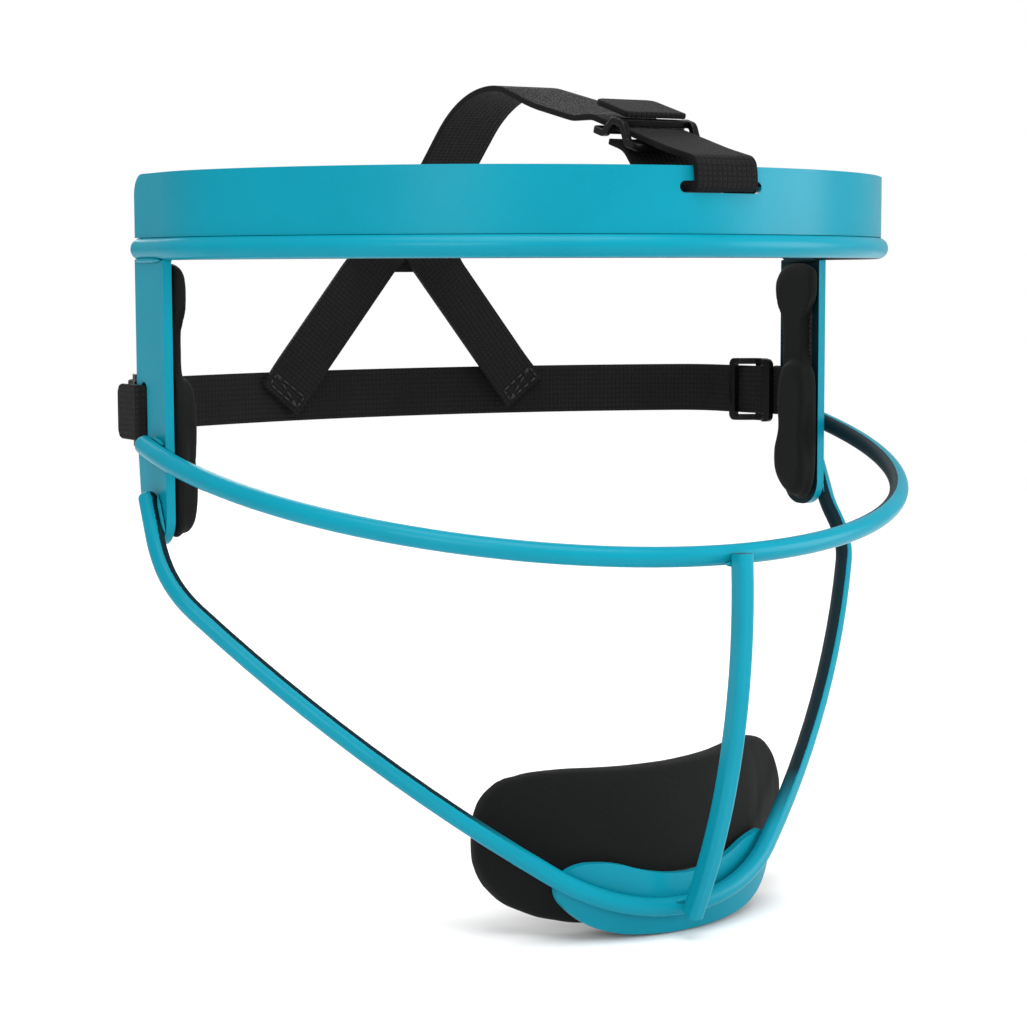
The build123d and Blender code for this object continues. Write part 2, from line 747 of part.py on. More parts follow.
def return_rise_length():
    """Length of the return layer's rise that brings it just under the crown slide."""
    run, rise = math.radians(crown_run_angle), math.radians(return_rise_angle)
    y = -rod_front - band_thickness / 2 + return_reach
    y += return_bend_radius * (2 * math.sin(rise) - math.sin(run))
    z = slot_top() - fold_gap - webbing_thickness / 2
    z += return_bend_radius * (1 - 2 * math.cos(rise) + math.cos(run))
    start = crown_run_start()
    below = (y - start[0]) * math.sin(run) - (z - start[1]) * math.cos(run)
    return (below - layer_level()) / math.sin(rise - run)


def slot_top():
    """Height of the crown slot's upper edge."""
    return rod_radius + band_height - crown_slot_bridge


def make_crown_strap():
    """Strap from the joint over the crown, over the band's edge, in through the slot and back."""
    turn = fold_gap + webbing_thickness / 2
    back = [
        (turn, quarter_angle),
        (return_reach, 0),
        (return_bend_radius, return_rise_angle),
        (return_rise_length(), 0),
        (return_bend_radius, crown_run_angle - return_rise_angle),
        (return_lap, 0),
    ]
    over = crown_moves() + [(joint_lap, 0)]
    outer = Plane.YZ * strip_face(crown_start(), quarter_angle, over, webbing_thickness)
    inner = Plane.YZ * strip_face(crown_start(), -quarter_angle, back, webbing_thickness)
    return extrude(outer, crown_width / 2, both=True) + extrude(inner, crown_width / 2, both=True)


def crown_place(along, above):
    """Plane on the crown strap's run: its X across the strap, its Z away from the head."""
    a = math.radians(crown_run_angle)
    y = crown_run_start()[0] + along * math.cos(a) - above * math.sin(a)
    z = crown_run_start()[1] + along * math.sin(a) + above * math.cos(a)
    return Plane(origin=(0, y, z), x_dir=(1, 0, 0), z_dir=(0, -math.sin(a), math.cos(a)))


def make_crown_tail():
    """The loose end of the crown strap, on top of the slide and past its rear end."""
    end = crown_slide_start + crown_slide_length + crown_tail_lap
    plane = crown_place(end - crown_tail_length / 2, layer_level())
    tail = Box(crown_width, crown_tail_length, webbing_thickness)
    tips = tail.edges().filter_by(Axis.Z).sort_by(Axis.Y)[-2:]
    return plane * fillet(tips, strap_tip_round)


# Slides

def make_slide(webbing, length):
    """Three-bar slide on webbing that lies in the XY plane along Y: centre bar above, end bars below."""
    ramp = math.radians(slide_ramp_angle)
    level, bend = slide_level(), slide_bend_radius
    slope = (2 * level - 2 * bend * (1 - math.cos(ramp))) / math.sin(ramp)
    flat = (length - slide_bar) / 2 - 2 * bend * math.sin(ramp) - slope * math.cos(ramp)
    rise = [(flat, 0), (bend, slide_ramp_angle), (slope, 0), (bend, -slide_ramp_angle), (slide_bar / 2, 0)]
    moves = rise + [rise[4], rise[3], rise[2], rise[1], rise[0]]
    wave = Plane.YZ * strip_face((-length / 2, -level), 0, moves, slide_thickness)
    reach = webbing / 2 + slide_edge_gap + slide_rail
    slide = extrude(wave, reach, both=True)
    outline = RectangleRounded(2 * reach, length, slide_corner_radius)
    outline = extrude(outline, 2 * level + overrun, both=True)
    window = (length - 3 * slide_bar) / 2
    cut = Box(2 * (reach - slide_rail), window, 2 * (2 * level + overrun))
    slide = slide & outline
    for side in (-1, 1):
        slide -= Pos(0, side * (slide_bar + window) / 2, 0) * cut
    return slide


def make_side_slide():
    """Slide on the straight run behind the fold of the back strap, its centre bar outside."""
    a = math.radians(run_angle)
    along = Vector(-math.sin(a), math.cos(a), 0)
    outward = Vector(math.cos(a), math.sin(a), 0)
    start = Vector(run_start()[0], run_start()[1], -strap_drop)
    middle = start + along * (side_slide_start + side_slide_length / 2)
    plane = Plane(origin=middle, x_dir=along.cross(outward), z_dir=outward)
    return plane * make_slide(strap_width, side_slide_length)


def make_crown_slide():
    """Wider slide on the straight run of the crown strap, its centre bar on top."""
    plane = crown_place(crown_slide_start + crown_slide_length / 2, 0)
    return plane * make_slide(crown_width, crown_slide_length)


# Every node of the guard

def build():
    """All the nodes by name."""
    nodes = {
        "brow_rod": make_brow_rod(),
        "forehead_band": make_forehead_band(),
        "cheek_wire": make_cheek_wire(),
        "jaw_wire": make_jaw_wire(),
        "centre_bar": make_centre_bar(),
        "chin_plate": make_chin_plate(),
        "chin_hook_patch": make_chin_patch(),
        "chin_pad": make_chin_pad(),
        "forehead_hook_patch": make_forehead_patch(),
        "forehead_pad": make_forehead_pad(),
        "back_strap": make_back_strap(),
        "crown_strap": make_crown_strap(),
        "crown_tail": make_crown_tail(),
        "crown_slide": make_crown_slide(),
    }
    pairs = {
        "side_plate": make_side_plate(),
        "side_hook_patch": make_side_patch(),
        "side_pad": make_side_pad(),
        "ponytail_strap": make_branch(),
        "side_slide": make_side_slide(),
    }
    for name, solid in pairs.items():
        left, right = both_sides(solid)
        nodes[name + "_left"] = left
        nodes[name + "_right"] = right
    return nodes


os.makedirs("parts", exist_ok=True)
for node_name, node in build().items():
    export_step(node, "parts/" + node_name + ".step")
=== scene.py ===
"""Looks of a softball fielder's face guard: coats, welds, foam pads, webbing, slides and a stage."""

import math

import bmesh
import bpy
from mathutils import Matrix, Vector


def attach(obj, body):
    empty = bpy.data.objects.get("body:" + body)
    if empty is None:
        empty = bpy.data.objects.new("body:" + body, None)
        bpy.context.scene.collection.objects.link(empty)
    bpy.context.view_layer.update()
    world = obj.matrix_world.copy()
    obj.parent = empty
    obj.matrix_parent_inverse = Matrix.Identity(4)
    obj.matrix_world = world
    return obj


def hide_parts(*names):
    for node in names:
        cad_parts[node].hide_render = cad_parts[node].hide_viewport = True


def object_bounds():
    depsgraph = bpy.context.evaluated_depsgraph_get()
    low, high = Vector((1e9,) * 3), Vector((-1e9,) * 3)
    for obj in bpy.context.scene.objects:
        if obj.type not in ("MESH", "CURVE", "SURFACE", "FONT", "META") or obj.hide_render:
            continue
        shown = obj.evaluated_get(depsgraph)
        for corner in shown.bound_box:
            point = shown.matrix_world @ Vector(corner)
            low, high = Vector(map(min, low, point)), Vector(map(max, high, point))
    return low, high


bl_info = {
    "name": "Fielder's Face Guard",
    "version": (1, 0, 0),
    "blender": (4, 5, 0),
    "location": "3D View > Sidebar > Face Guard",
    "description": "Coats, pads, webbing, slides and stage of a softball fielder's face guard",
    "category": "Object",
}

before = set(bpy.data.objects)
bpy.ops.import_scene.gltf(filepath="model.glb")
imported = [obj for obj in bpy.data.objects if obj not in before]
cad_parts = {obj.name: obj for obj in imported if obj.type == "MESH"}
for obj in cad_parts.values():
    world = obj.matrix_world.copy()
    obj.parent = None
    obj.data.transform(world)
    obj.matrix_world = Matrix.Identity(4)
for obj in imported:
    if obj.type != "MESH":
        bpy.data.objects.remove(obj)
cad_low, cad_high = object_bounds()

GUARD = "guard"
SIDES = {"left": 1, "right": -1}

# Sizes of the frame that the pieces here are fitted to, in millimetres, as the solids have them
PLATE_MIDDLE = 86.5
PLATE_THICKNESS = 2.0
PLATE_FRONT = 2.3
PLATE_REAR = 17.8
ROD_RADIUS = 2.4
ROD_FRONT = 73.0
BAND_THICKNESS = 1.6
BAND_TOP = 15.9
SLOT_TOP = 12.9
SLOT_BRIDGE = 3.0
BROW_RADIUS = 89.42
CHEEK_RADIUS = 2.1
CHEEK_DROP = 43.6
CHEEK_REAR = 10.4
CHEEK_TILT = math.radians(12.95)
JAW_RADIUS = 2.0
JAW_KNEE = (3.1, -62.9)
JAW_LEAD = 12.4
JAW_LEAD_ANGLE = math.radians(25)
JAW_LEAN = math.radians(41.3)
CHIN_BEND = 39.8
CHIN_FRONT = (-62.69, -137.78)
CHIN_PLATE_RADIUS = 52.47
CHIN_PLATE_THICKNESS = 1.6
CHIN_PLATE_HALF = 29.25
CHIN_PLATE_FOOT = -143.78
CHIN_PLATE_HEIGHT = 17.3
CHIN_SHIFT = 4.0
CHIN_TILT = math.radians(1.0)
CHEEK_FRONT = (-79.23, -61.82)
BAR_WIDTH = 3.5
WELD_GAP = 0.05

# Webbing
STRAP_WIDTH = 12.0
STRAP_HEIGHT = -35.0
STRAP_TIP = 2.0
CROWN_WIDTH = 15.0
FOLD_CENTRE = (86.5, 15.55)
FOLD_RADIUS = 1.95
TAIL_LENGTH = 10.0
RUN_LENGTH = 23.2
RUN_TURN = 10.0
CORNER_RADIUS = 12.6
REAR_TURN = 25.0
BRANCH_FOOT = 34.0
BRANCH_LEAN = math.radians(38)
BRANCH_REACH = 62.0
BRANCH_LAP = 0.8
BRANCH_LEAVE = math.radians(12)
BRANCH_LEAVE_RADIUS = 20.0
JOINT_RISE = 41.0
JOINT_BEND = 7.3
CROWN_RUN = 34.0
CROWN_RUN_TURN = 15.9
CROWN_CREST_RADIUS = 60.0
CROWN_SLACK = 34.3
CROWN_SLACK_TURN = 12.5
CROWN_FALL_RADIUS = 36.0
# Distances along the crown strap at which its twist starts, is full, starts to ease and has gone
CROWN_TWIST_SPAN = (40.0, 50.0, 62.0, 84.0)
CROWN_TAIL_START = 22.6
CROWN_TAIL_LENGTH = 13.1
CROWN_LIP = 1.75
CROWN_RETURN = 11.0
CROWN_RETURN_BEND = 7.0
CROWN_RETURN_RISE = 47.0
CROWN_LAYER = 3.4
SLOT_DROP = 0.45
LOOP_PULL = 1.9
LOOP_PULL_REACH = 13.0

# How far a branch reaches above the joint's foot
BRANCH_TOP = 9.0
# A branch's box of stitches: its margin from the edges, its start and end, the part of its pitch
# that a stitch fills, how far a stitch stands up, and the thread's radii along it
STITCH_MARGIN = 1.3
STITCH_BOX = (1.2 - BRANCH_LAP, 3.4)
STITCH_SPAN = (0.1, 0.9)
STITCH_RISE = 0.26
THREAD_RADII = [0.1, 0.22, 0.24, 0.22, 0.1]
# Directions along and across a branch, and where it starts on the back strap
BRANCH_ALONG = Vector((-math.sin(BRANCH_LEAN), 0, math.cos(BRANCH_LEAN)))
BRANCH_OVER = Vector((math.cos(BRANCH_LEAN), 0, math.sin(BRANCH_LEAN)))
BRANCH_START = Vector((BRANCH_FOOT, 0, STRAP_HEIGHT))
SIDEWAYS = Vector((1, 0, 0))

# The inner coat lies where a face is turned to this place, above the chin
HEAD_MIDDLE = (0, -5, -45)
INNER_COAT_TURN = (0.22, 0.27)
INNER_COAT_FOOT = (-0.126, -0.116)


def mm(x, y, z):
    """A place in millimetres as Blender's metres."""
    return Vector((x, y, z)) * 0.001


# Settings that a user would change

def colour_setting(name, description, default):
    """A colour."""
    return bpy.props.FloatVectorProperty(
        name=name, description=description, subtype="COLOR", size=3, min=0, max=1, default=default)


def length_setting(name, description, least, most, default):
    """A length, in metres."""
    return bpy.props.FloatProperty(
        name=name, description=description, unit="LENGTH", subtype="DISTANCE", min=least, max=most,
        default=default)


def share_setting(name, description, default, most=1):
    """A share of the whole."""
    return bpy.props.FloatProperty(
        name=name, description=description, subtype="FACTOR", min=0, max=most, default=default)


def angle_setting(name, description, degrees):
    """An angle."""
    return bpy.props.FloatProperty(
        name=name, description=description, unit="ROTATION", subtype="ANGLE",
        default=math.radians(degrees))


class FaceGuardSteel(bpy.types.PropertyGroup):
    """Coat and welds of the wire frame."""

    outer_colour: colour_setting(
        "Outer coat", "Powder coat on the faces turned away from the head", (0.002, 0.212, 0.292))
    inner_colour: colour_setting(
        "Inner coat", "Dark coat against glare on the faces turned to the head", (0.001, 0.012, 0.017))
    roughness: share_setting("Roughness", "Roughness of the powder coat", 0.3)
    weld_radius: length_setting("Weld bead", "Radius of a weld bead", 0.0003, 0.002, 0.00055)


class FaceGuardFoam(bpy.types.PropertyGroup):
    """Moulded foam of the four pads."""

    colour: colour_setting("Foam", "Colour of the moulded foam", (0.0052, 0.0056, 0.0056))
    cell: length_setting("Cell size", "Size of the foam's closed cells", 0.0002, 0.003, 0.0007)
    side_fill: share_setting("Side pads' fill", "How full the side pads are", 0.8)
    chin_fill: share_setting("Chin pad's fill", "How full the chin pad is", 0.9)


class FaceGuardWebbing(bpy.types.PropertyGroup):
    """Woven straps and their stitches."""

    colour: colour_setting("Yarn", "Colour of the webbing's yarn", (0.0062, 0.0062, 0.0066))
    thickness: length_setting("Thickness", "Thickness of the webbing", 0.0005, 0.003, 0.0013)
    rib_pitch: length_setting(
        "Rib pitch", "Distance from rib to rib along the strap", 0.0003, 0.003, 0.00105)
    yarn_pitch: length_setting(
        "Yarn pitch", "Distance from yarn to yarn across the strap", 0.0003, 0.003, 0.0012)
    stitch_length: length_setting("Stitch", "Length of one stitch", 0.0008, 0.005, 0.002)
    crown_twist: angle_setting(
        "Crown strap's twist", "Twist of the crown strap's slack, behind its slide", -6)


class FaceGuardSlides(bpy.types.PropertyGroup):
    """Moulded slides on the straps."""

    colour: colour_setting("Plastic", "Colour of the slides' plastic", (0.0018, 0.0018, 0.002))
    edge_radius: length_setting(
        "Edge radius", "Radius of the mould's softened edges", 0.00005, 0.0008, 0.00028)


class FaceGuardStage(bpy.types.PropertyGroup):
    """Camera, floor and lights."""

    camera_place: bpy.props.FloatVectorProperty(
        name="Camera", description="Where the camera stands",
        subtype="TRANSLATION", size=3, default=(-0.2824, -0.47027, -0.00528))
    camera_pan: angle_setting("Pan", "Turn of the camera to its right from straight ahead", 30.666)
    camera_tilt: angle_setting("Tilt", "How far the camera looks up", -5.721)
    camera_roll: angle_setting("Roll", "Roll of the camera about its own line of sight", -0.178)
    lens: bpy.props.FloatProperty(
        name="Lens", description="Focal length on a 36 mm sensor, in millimetres",
        min=20, max=300, default=84.19)
    floor_colour: colour_setting("Floor", "Colour of the floor", (0.9, 0.9, 0.9))
    light_strength: share_setting("Light", "Strength of all the lamps together", 1.0, 4)


class FaceGuardSettings(bpy.types.PropertyGroup):
    """All the settings of the guard."""

    steel: bpy.props.PointerProperty(type=FaceGuardSteel)
    foam: bpy.props.PointerProperty(type=FaceGuardFoam)
    webbing: bpy.props.PointerProperty(type=FaceGuardWebbing)
    slides: bpy.props.PointerProperty(type=FaceGuardSlides)
    stage: bpy.props.PointerProperty(type=FaceGuardStage)


# Finishes

def new_finish(name, roughness, specular):
    """A new material, its tree, its shader and the place of what is shaded, in metres."""
    material = bpy.data.materials.new(name)
    material.use_nodes = True
    tree = material.node_tree
    shader = tree.nodes["Principled BSDF"]
    shader.inputs["Roughness"].default_value = roughness
    shader.inputs["Specular IOR Level"].default_value = specular
    return material, tree, shader, wire(tree, "NewGeometry").outputs["Position"]


def wire(tree, kind, values=None, **settings):
    """A new node, its sockets set to values or linked to other nodes' outputs."""
    node = tree.nodes.new("ShaderNode" + kind)
    for name, value in settings.items():
        setattr(node, name, value)
    for socket, value in (values or {}).items():
        if isinstance(value, bpy.types.NodeSocket):
            tree.links.new(value, node.inputs[socket])
        else:
            node.inputs[socket].default_value = value
    return node


def calc(tree, operation, *values):
    """What a sum makes of numbers and other nodes' outputs."""
    return wire(tree, "Math", dict(enumerate(values)), operation=operation).outputs[0]


def blend_colours(tree, factor, first, second):
    """The colour between two, by a factor."""
    mix = wire(tree, "Mix", {0: factor, 6: first, 7: second}, data_type="RGBA")
    return mix.outputs[2]


def shade(colour, share):
    """A colour made lighter or darker, with its alpha."""
    return (*(min(1.0, c * share) for c in colour), 1.0)


def mottle(tree, factor, colour, low, high):
    """A colour that goes from one shade of itself to another, by a factor."""
    return blend_colours(tree, factor, shade(colour, low), shade(colour, high))


def spread(tree, value, low, high, to_low=0.0, to_high=1.0):
    """A value mapped from one range to another, and held there."""
    node = wire(tree, "MapRange", {0: value, 1: low, 2: high, 3: to_low, 4: to_high})
    return node.outputs[0]


def grain(tree, place, size, detail=2.0):
    """Soft noise whose marks are about size across, in metres."""
    return wire(tree, "TexNoise", {"Vector": place, "Scale": 1 / size, "Detail": detail}).outputs["Fac"]


def feed(tree, shader, colour, roughness=None):
    """Links a colour to a shader, and a roughness where there is one."""
    tree.links.new(colour, shader.inputs["Base Color"])
    if roughness is not None:
        tree.links.new(roughness, shader.inputs["Roughness"])


def add_relief(tree, shader, height, depth, strength):
    """Bump of a given depth, in metres."""
    bump = wire(tree, "Bump", {"Height": height, "Distance": depth, "Strength": strength})
    tree.links.new(bump.outputs["Normal"], shader.inputs["Normal"])


def make_coat(steel):
    """Satin powder coat: turquoise outside, and dark where a face is turned to the head."""
    material, tree, shader, place = new_finish("powder_coat", steel.roughness, 0.1)
    to_head = wire(tree, "VectorMath", {0: mm(*HEAD_MIDDLE), 1: place}, operation="SUBTRACT")
    aim = wire(tree, "VectorMath", {0: to_head.outputs[0]}, operation="NORMALIZE")
    normal = wire(tree, "NewGeometry").outputs["Normal"]
    facing = wire(tree, "VectorMath", {0: aim.outputs[0], 1: normal}, operation="DOT_PRODUCT")
    ragged = spread(tree, grain(tree, place, 0.0006), 0.3, 0.7, -0.03, 0.03)
    turned = spread(tree, calc(tree, "ADD", facing.outputs["Value"], ragged), *INNER_COAT_TURN)
    height = wire(tree, "SeparateXYZ", {0: place}).outputs[2]
    inside = calc(tree, "MULTIPLY", turned, spread(tree, height, *INNER_COAT_FOOT))
    cloud = spread(tree, grain(tree, place, 0.02), 0.35, 0.65)
    speckle = spread(tree, grain(tree, place, 0.0005), 0.3, 0.7)
    outer = mottle(tree, cloud, steel.outer_colour, 0.93, 1.05)
    outer = blend_colours(tree, speckle, outer, shade(steel.outer_colour, 1.0))
    inner = mottle(tree, speckle, steel.inner_colour, 0.8, 1.2)
    rough = spread(tree, inside, 0, 1, steel.roughness, 2 * steel.roughness)
    feed(tree, shader, blend_colours(tree, inside, outer, inner), rough)
    add_relief(tree, shader, grain(tree, place, 0.0011, 3.0), 0.00005, 0.5)
    return material


def make_foam(foam):
    """Matte closed-cell foam with a fine skin, a little lighter and darker in soft bands."""
    material, tree, shader, place = new_finish("moulded_foam", 0.85, 0.06)
    shader.inputs["Sheen Weight"].default_value = 0.02
    shader.inputs["Sheen Roughness"].default_value = 0.6
    stretched = wire(tree, "Mapping", {"Vector": place, "Scale": (1.0, 1.0, 0.12)})
    band = spread(tree, grain(tree, stretched.outputs[0], 0.005), 0.35, 0.65)
    cells = wire(tree, "TexVoronoi", {"Vector": place, "Scale": 1 / foam.cell}).outputs["Distance"]
    skin = mottle(tree, band, foam.colour, 0.85, 1.18)
    porous = blend_colours(tree, spread(tree, cells, 0.1, 0.7), shade(foam.colour, 1.15), skin)
    feed(tree, shader, porous, spread(tree, band, 0, 1, 0.72, 0.86))
    relief = calc(tree, "ADD", cells, grain(tree, place, 0.00025, 3.0))
    add_relief(tree, shader, relief, 0.00012, 0.35)
    return material


def make_weave(webbing):
    """Woven webbing: ribs across it and yarns along it, from the weave's own coordinates, with painted
    shade in the grooves between them.
    """
    material, tree, shader, place = new_finish("woven_webbing", 0.8, 0.07)
    shader.inputs["Sheen Weight"].default_value = 0.02
    weave = wire(tree, "Attribute", attribute_name="weave")
    parts = wire(tree, "SeparateXYZ", {0: weave.outputs["Vector"]})
    waves = []
    for socket, pitch in ((0, webbing.yarn_pitch), (1, webbing.rib_pitch)):
        angle = calc(tree, "MULTIPLY", parts.outputs[socket], math.tau / pitch)
        waves.append(spread(tree, calc(tree, "SINE", angle), -1, 1))
    fuzz = grain(tree, place, 0.0004, 3.0)
    raised = spread(tree, calc(tree, "MINIMUM", *waves), 0.02, 0.4)
    cloud = spread(tree, grain(tree, place, 0.012), 0.3, 0.7)
    yarn = mottle(tree, cloud, webbing.colour, 0.85, 1.35)
    # Painted shade: the yarn in the grooves between ribs and yarns is drawn darker than on the raised
    # parts
    groove_shaded_yarn = blend_colours(tree, raised, shade(webbing.colour, 0.7), yarn)
    feed(tree, shader, groove_shaded_yarn, spread(tree, fuzz, 0.2, 0.8, 0.6, 0.85))
    height = calc(tree, "ADD", calc(tree, "MULTIPLY", raised, fuzz), raised)
    add_relief(tree, shader, height, 0.00015, 0.6)
    return material


def make_thread(webbing):
    """Sewing thread: twisted, a little brighter than the webbing."""
    material, tree, shader, place = new_finish("sewing_thread", 0.5, 0.4)
    twist = spread(tree, grain(tree, place, 0.0003), 0.35, 0.65)
    feed(tree, shader, mottle(tree, twist, webbing.colour, 0.8, 1.3))
    add_relief(tree, shader, twist, 0.00008, 0.6)
    return material


def make_hook_tape():
    """Hook tape: rows of small hooks on a dull backing."""
    material, tree, shader, place = new_finish("hook_tape", 0.8, 0.3)
    hooks = wire(tree, "TexVoronoi", {"Vector": place, "Scale": 900.0, "Randomness": 0.35})
    nap = spread(tree, hooks.outputs["Distance"], 0.1, 0.6)
    feed(tree, shader, blend_colours(tree, nap, (0.016, 0.016, 0.017, 1), (0.004, 0.004, 0.005, 1)))
    add_relief(tree, shader, nap, 0.0004, 0.8)
    return material


def make_plastic(slides):
    """Moulded plastic: black, satin, with the mould's fine grain."""
    material, tree, shader, place = new_finish("moulded_plastic", 0.36, 0.14)
    cloud = spread(tree, grain(tree, place, 0.006), 0.3, 0.7)
    black = mottle(tree, cloud, slides.colour, 0.8, 1.3)
    feed(tree, shader, black, spread(tree, cloud, 0, 1, 0.3, 0.42))
    add_relief(tree, shader, grain(tree, place, 0.00035, 3.0), 0.00003, 0.5)
    return material


def make_floor_finish(stage):
    """Pale, even floor."""
    material, tree, shader, place = new_finish("pale_floor", 0.7, 0.2)
    cloud = spread(tree, grain(tree, place, 0.3), 0.3, 0.7)
    feed(tree, shader, mottle(tree, cloud, stage.floor_colour, 0.985, 1.0))
    return material


# Shapes

def dress(piece, material):
    """Gives a piece one material."""
    piece.data.materials.clear()
    piece.data.materials.append(material)


def finish_piece(piece, material):
    """Gives a piece its material and the body that it rides on."""
    dress(piece, material)
    piece.data.shade_smooth()
    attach(piece, GUARD)
    return piece


def piece_from(bm, name):
    """A new object from a bmesh, with its faces turned outward."""
    bmesh.ops.recalc_face_normals(bm, faces=bm.faces)
    mesh = bpy.data.meshes.new(name)
    bm.to_mesh(mesh)
    bm.free()
    piece = bpy.data.objects.new(name, mesh)
    bpy.context.scene.collection.objects.link(piece)
    return piece


def settle_modifiers(piece):
    """Applies a piece's modifiers, so that its mesh is what shows."""
    depsgraph = bpy.context.evaluated_depsgraph_get()
    mesh = bpy.data.meshes.new_from_object(piece.evaluated_get(depsgraph))
    piece.modifiers.clear()
    piece.data = mesh


def walk(start, heading, moves, step=1.0):
    """Points of a path of runs and arcs, each with its heading and its distance from the start."""
    x, y = start
    angle = math.radians(heading)
    gone = 0.0
    path = [(x, y, angle, gone)]
    for size, turn in moves:
        sweep = math.radians(turn)
        length = size if turn == 0 else abs(sweep) * size
        count = max(2, math.ceil(length / step), math.ceil(abs(turn) / 9))
        for _ in range(count):
            share = length / count
            half = sweep / count / 2
            chord = share if turn == 0 else 2 * size * math.sin(abs(half))
            x += chord * math.cos(angle + half)
            y += chord * math.sin(angle + half)
            angle += 2 * half
            gone += share
            path.append((x, y, angle, gone))
    return path


def rounded_half(half, reach, radius):
    """Half width at a distance from an end whose corners are rounded by a radius."""
    if reach < radius:
        half += math.sqrt(max(0.0, radius ** 2 - (radius - reach) ** 2)) - radius
    return half


def woven_row(bm, middle, side, half, gone, count):
    """A row of points across a strap, each with its place in the weave."""
    weave = bm.verts.layers.float_vector["weave"]
    row = []
    for i in range(count + 1):
        u = (2 * i / count - 1) * half
        vert = bm.verts.new(middle + side * u)
        vert[weave] = (u * 0.001, gone * 0.001, 0)
        row.append(vert)
    return row


def add_sheet(bm, rows):
    """Faces between rows of points that all have the same count."""
    for near, far in zip(rows, rows[1:]):
        for i in range(len(near) - 1):
            bm.faces.new((near[i], near[i + 1], far[i + 1], far[i]))


def make_strap(name, places, width, webbing, tips=(0, 0)):
    """A woven strap from places in mm: its middle, the direction across it, the distance along it."""
    bm = bmesh.new()
    bm.verts.layers.float_vector.new("weave")
    length = places[-1][2]
    rows = []
    for middle, side, gone in places:
        half = width / 2
        for radius, reach in zip(tips, (gone, length - gone)):
            half = rounded_half(half, reach, radius)
        rows.append(woven_row(bm, middle * 0.001, side * 0.001, half, gone, 10))
    add_sheet(bm, rows)
    return thicken_strap(piece_from(bm, name), webbing)


def thicken(piece, thickness):
    """Gives a sheet its thickness, half to each side."""
    solid = piece.modifiers.new("thickness", "SOLIDIFY")
    solid.thickness = thickness
    solid.offset = 0


def add_bevel(piece, width, degrees):
    """Softens the edges of a piece that are sharper than an angle."""
    edge = piece.modifiers.new("edge", "BEVEL")
    edge.width = width
    edge.segments = 3
    edge.limit_method = "ANGLE"
    edge.angle_limit = math.radians(degrees)
    return edge


def thicken_strap(piece, webbing):
    """Gives a strap's middle sheet its thickness and its rounded selvedges."""
    thicken(piece, webbing.thickness)
    add_bevel(piece, webbing.thickness * 0.32, 50)
    settle_modifiers(piece)
    return piece


def add_tube(bm, points, radii, sides):
    """A closed tube through points, in mm, with a radius at each of them."""
    turns = [math.tau * k / sides for k in range(sides)]
    rings = []
    for i, point in enumerate(points):
        along = (points[min(i + 1, len(points) - 1)] - points[max(i - 1, 0)]).normalized()
        first = along.orthogonal().normalized()
        second = along.cross(first)
        ring = [point + (first * math.cos(a) + second * math.sin(a)) * radii[i] for a in turns]
        if rings:
            gaps = [(rings[-1][0] - place).length for place in ring]
            shift = gaps.index(min(gaps))
            ring = ring[shift:] + ring[:shift]
        rings.append(ring)
    add_rings(bm, rings)


def add_rings(bm, rings):
    """A closed skin over rings of places in mm, all with the same count."""
    made = [[bm.verts.new(place * 0.001) for place in ring] for ring in rings]
    add_sheet(bm, [ring + ring[:1] for ring in made])
    bm.faces.new(made[0])
    bm.faces.new(made[-1])


def mould_foam(name, skins, voxel, rounds):
    """A pad from closed skins of rings: one moulded form, remeshed and then smoothed."""
    bm = bmesh.new()
    for rings in skins:
        add_rings(bm, rings)
    pad = piece_from(bm, name)
    remesh = pad.modifiers.new("form", "REMESH")
    remesh.mode = "VOXEL"
    remesh.voxel_size = voxel
    smooth = pad.modifiers.new("skin", "SMOOTH")
    smooth.factor = 0.5
    smooth.iterations = rounds
    settle_modifiers(pad)
    return finish_piece(pad, bpy.data.materials["moulded_foam"])


def smooth_loop(points, per_span):
    """Points round a closed curve that passes through the given ones."""
    count = len(points)
    loop = []
    for i in range(count):
        p = [points[(i + k - 1) % count] for k in range(4)]
        for k in range(per_span):
            t = k / per_span
            loop.append(tuple(
                0.5 * (2 * b + (c - a) * t + (2 * a - 5 * b + 4 * c - d) * t ** 2
                       + (3 * b - a - 3 * c + d) * t ** 3)
                for a, b, c, d in zip(*p)))
    return loop


def table_between(table, x):
    """Values of a table at x, on a straight line from one row to the next."""
    for near, far in zip(table, table[1:]):
        if x <= far[0]:
            t = (x - near[0]) / (far[0] - near[0])
            return [a + (b - a) * t for a, b in zip(near[1:], far[1:])]
    return list(table[-1][1:])


# Back strap's line in plan

def back_strap_moves():
    """Runs and arcs of the back strap, from its left tail round the head to its right one."""
    fold = 180 - RUN_TURN
    corner = 90 - RUN_TURN - REAR_TURN
    return [
        (TAIL_LENGTH, 0), (FOLD_RADIUS, -fold), (RUN_LENGTH, 0), (CORNER_RADIUS, corner),
        (rear_radius(), 2 * REAR_TURN), (CORNER_RADIUS, corner), (RUN_LENGTH, 0),
        (FOLD_RADIUS, -fold), (TAIL_LENGTH, 0),
    ]


def run_start():
    """Where the left straight run leaves the fold, in plan."""
    a = math.radians(RUN_TURN)
    return FOLD_CENTRE[0] - FOLD_RADIUS * math.cos(a), FOLD_CENTRE[1] - FOLD_RADIUS * math.sin(a)


def rear_radius():
    """Radius of the back strap's arc round the back of the head."""
    a, b = math.radians(RUN_TURN), math.radians(90 - REAR_TURN)
    width = run_start()[0] - RUN_LENGTH * math.sin(a) - CORNER_RADIUS * (math.cos(a) - math.cos(b))
    return width / math.cos(b)


def rear_line():
    """How far back the back strap's middle lies on the symmetry plane."""
    a, b = math.radians(RUN_TURN), math.radians(90 - REAR_TURN)
    y = run_start()[1] + RUN_LENGTH * math.cos(a) + CORNER_RADIUS * (math.sin(b) - math.sin(a))
    return y + rear_radius() * (1 - math.sin(b))


# Crown strap's line, seen from the side

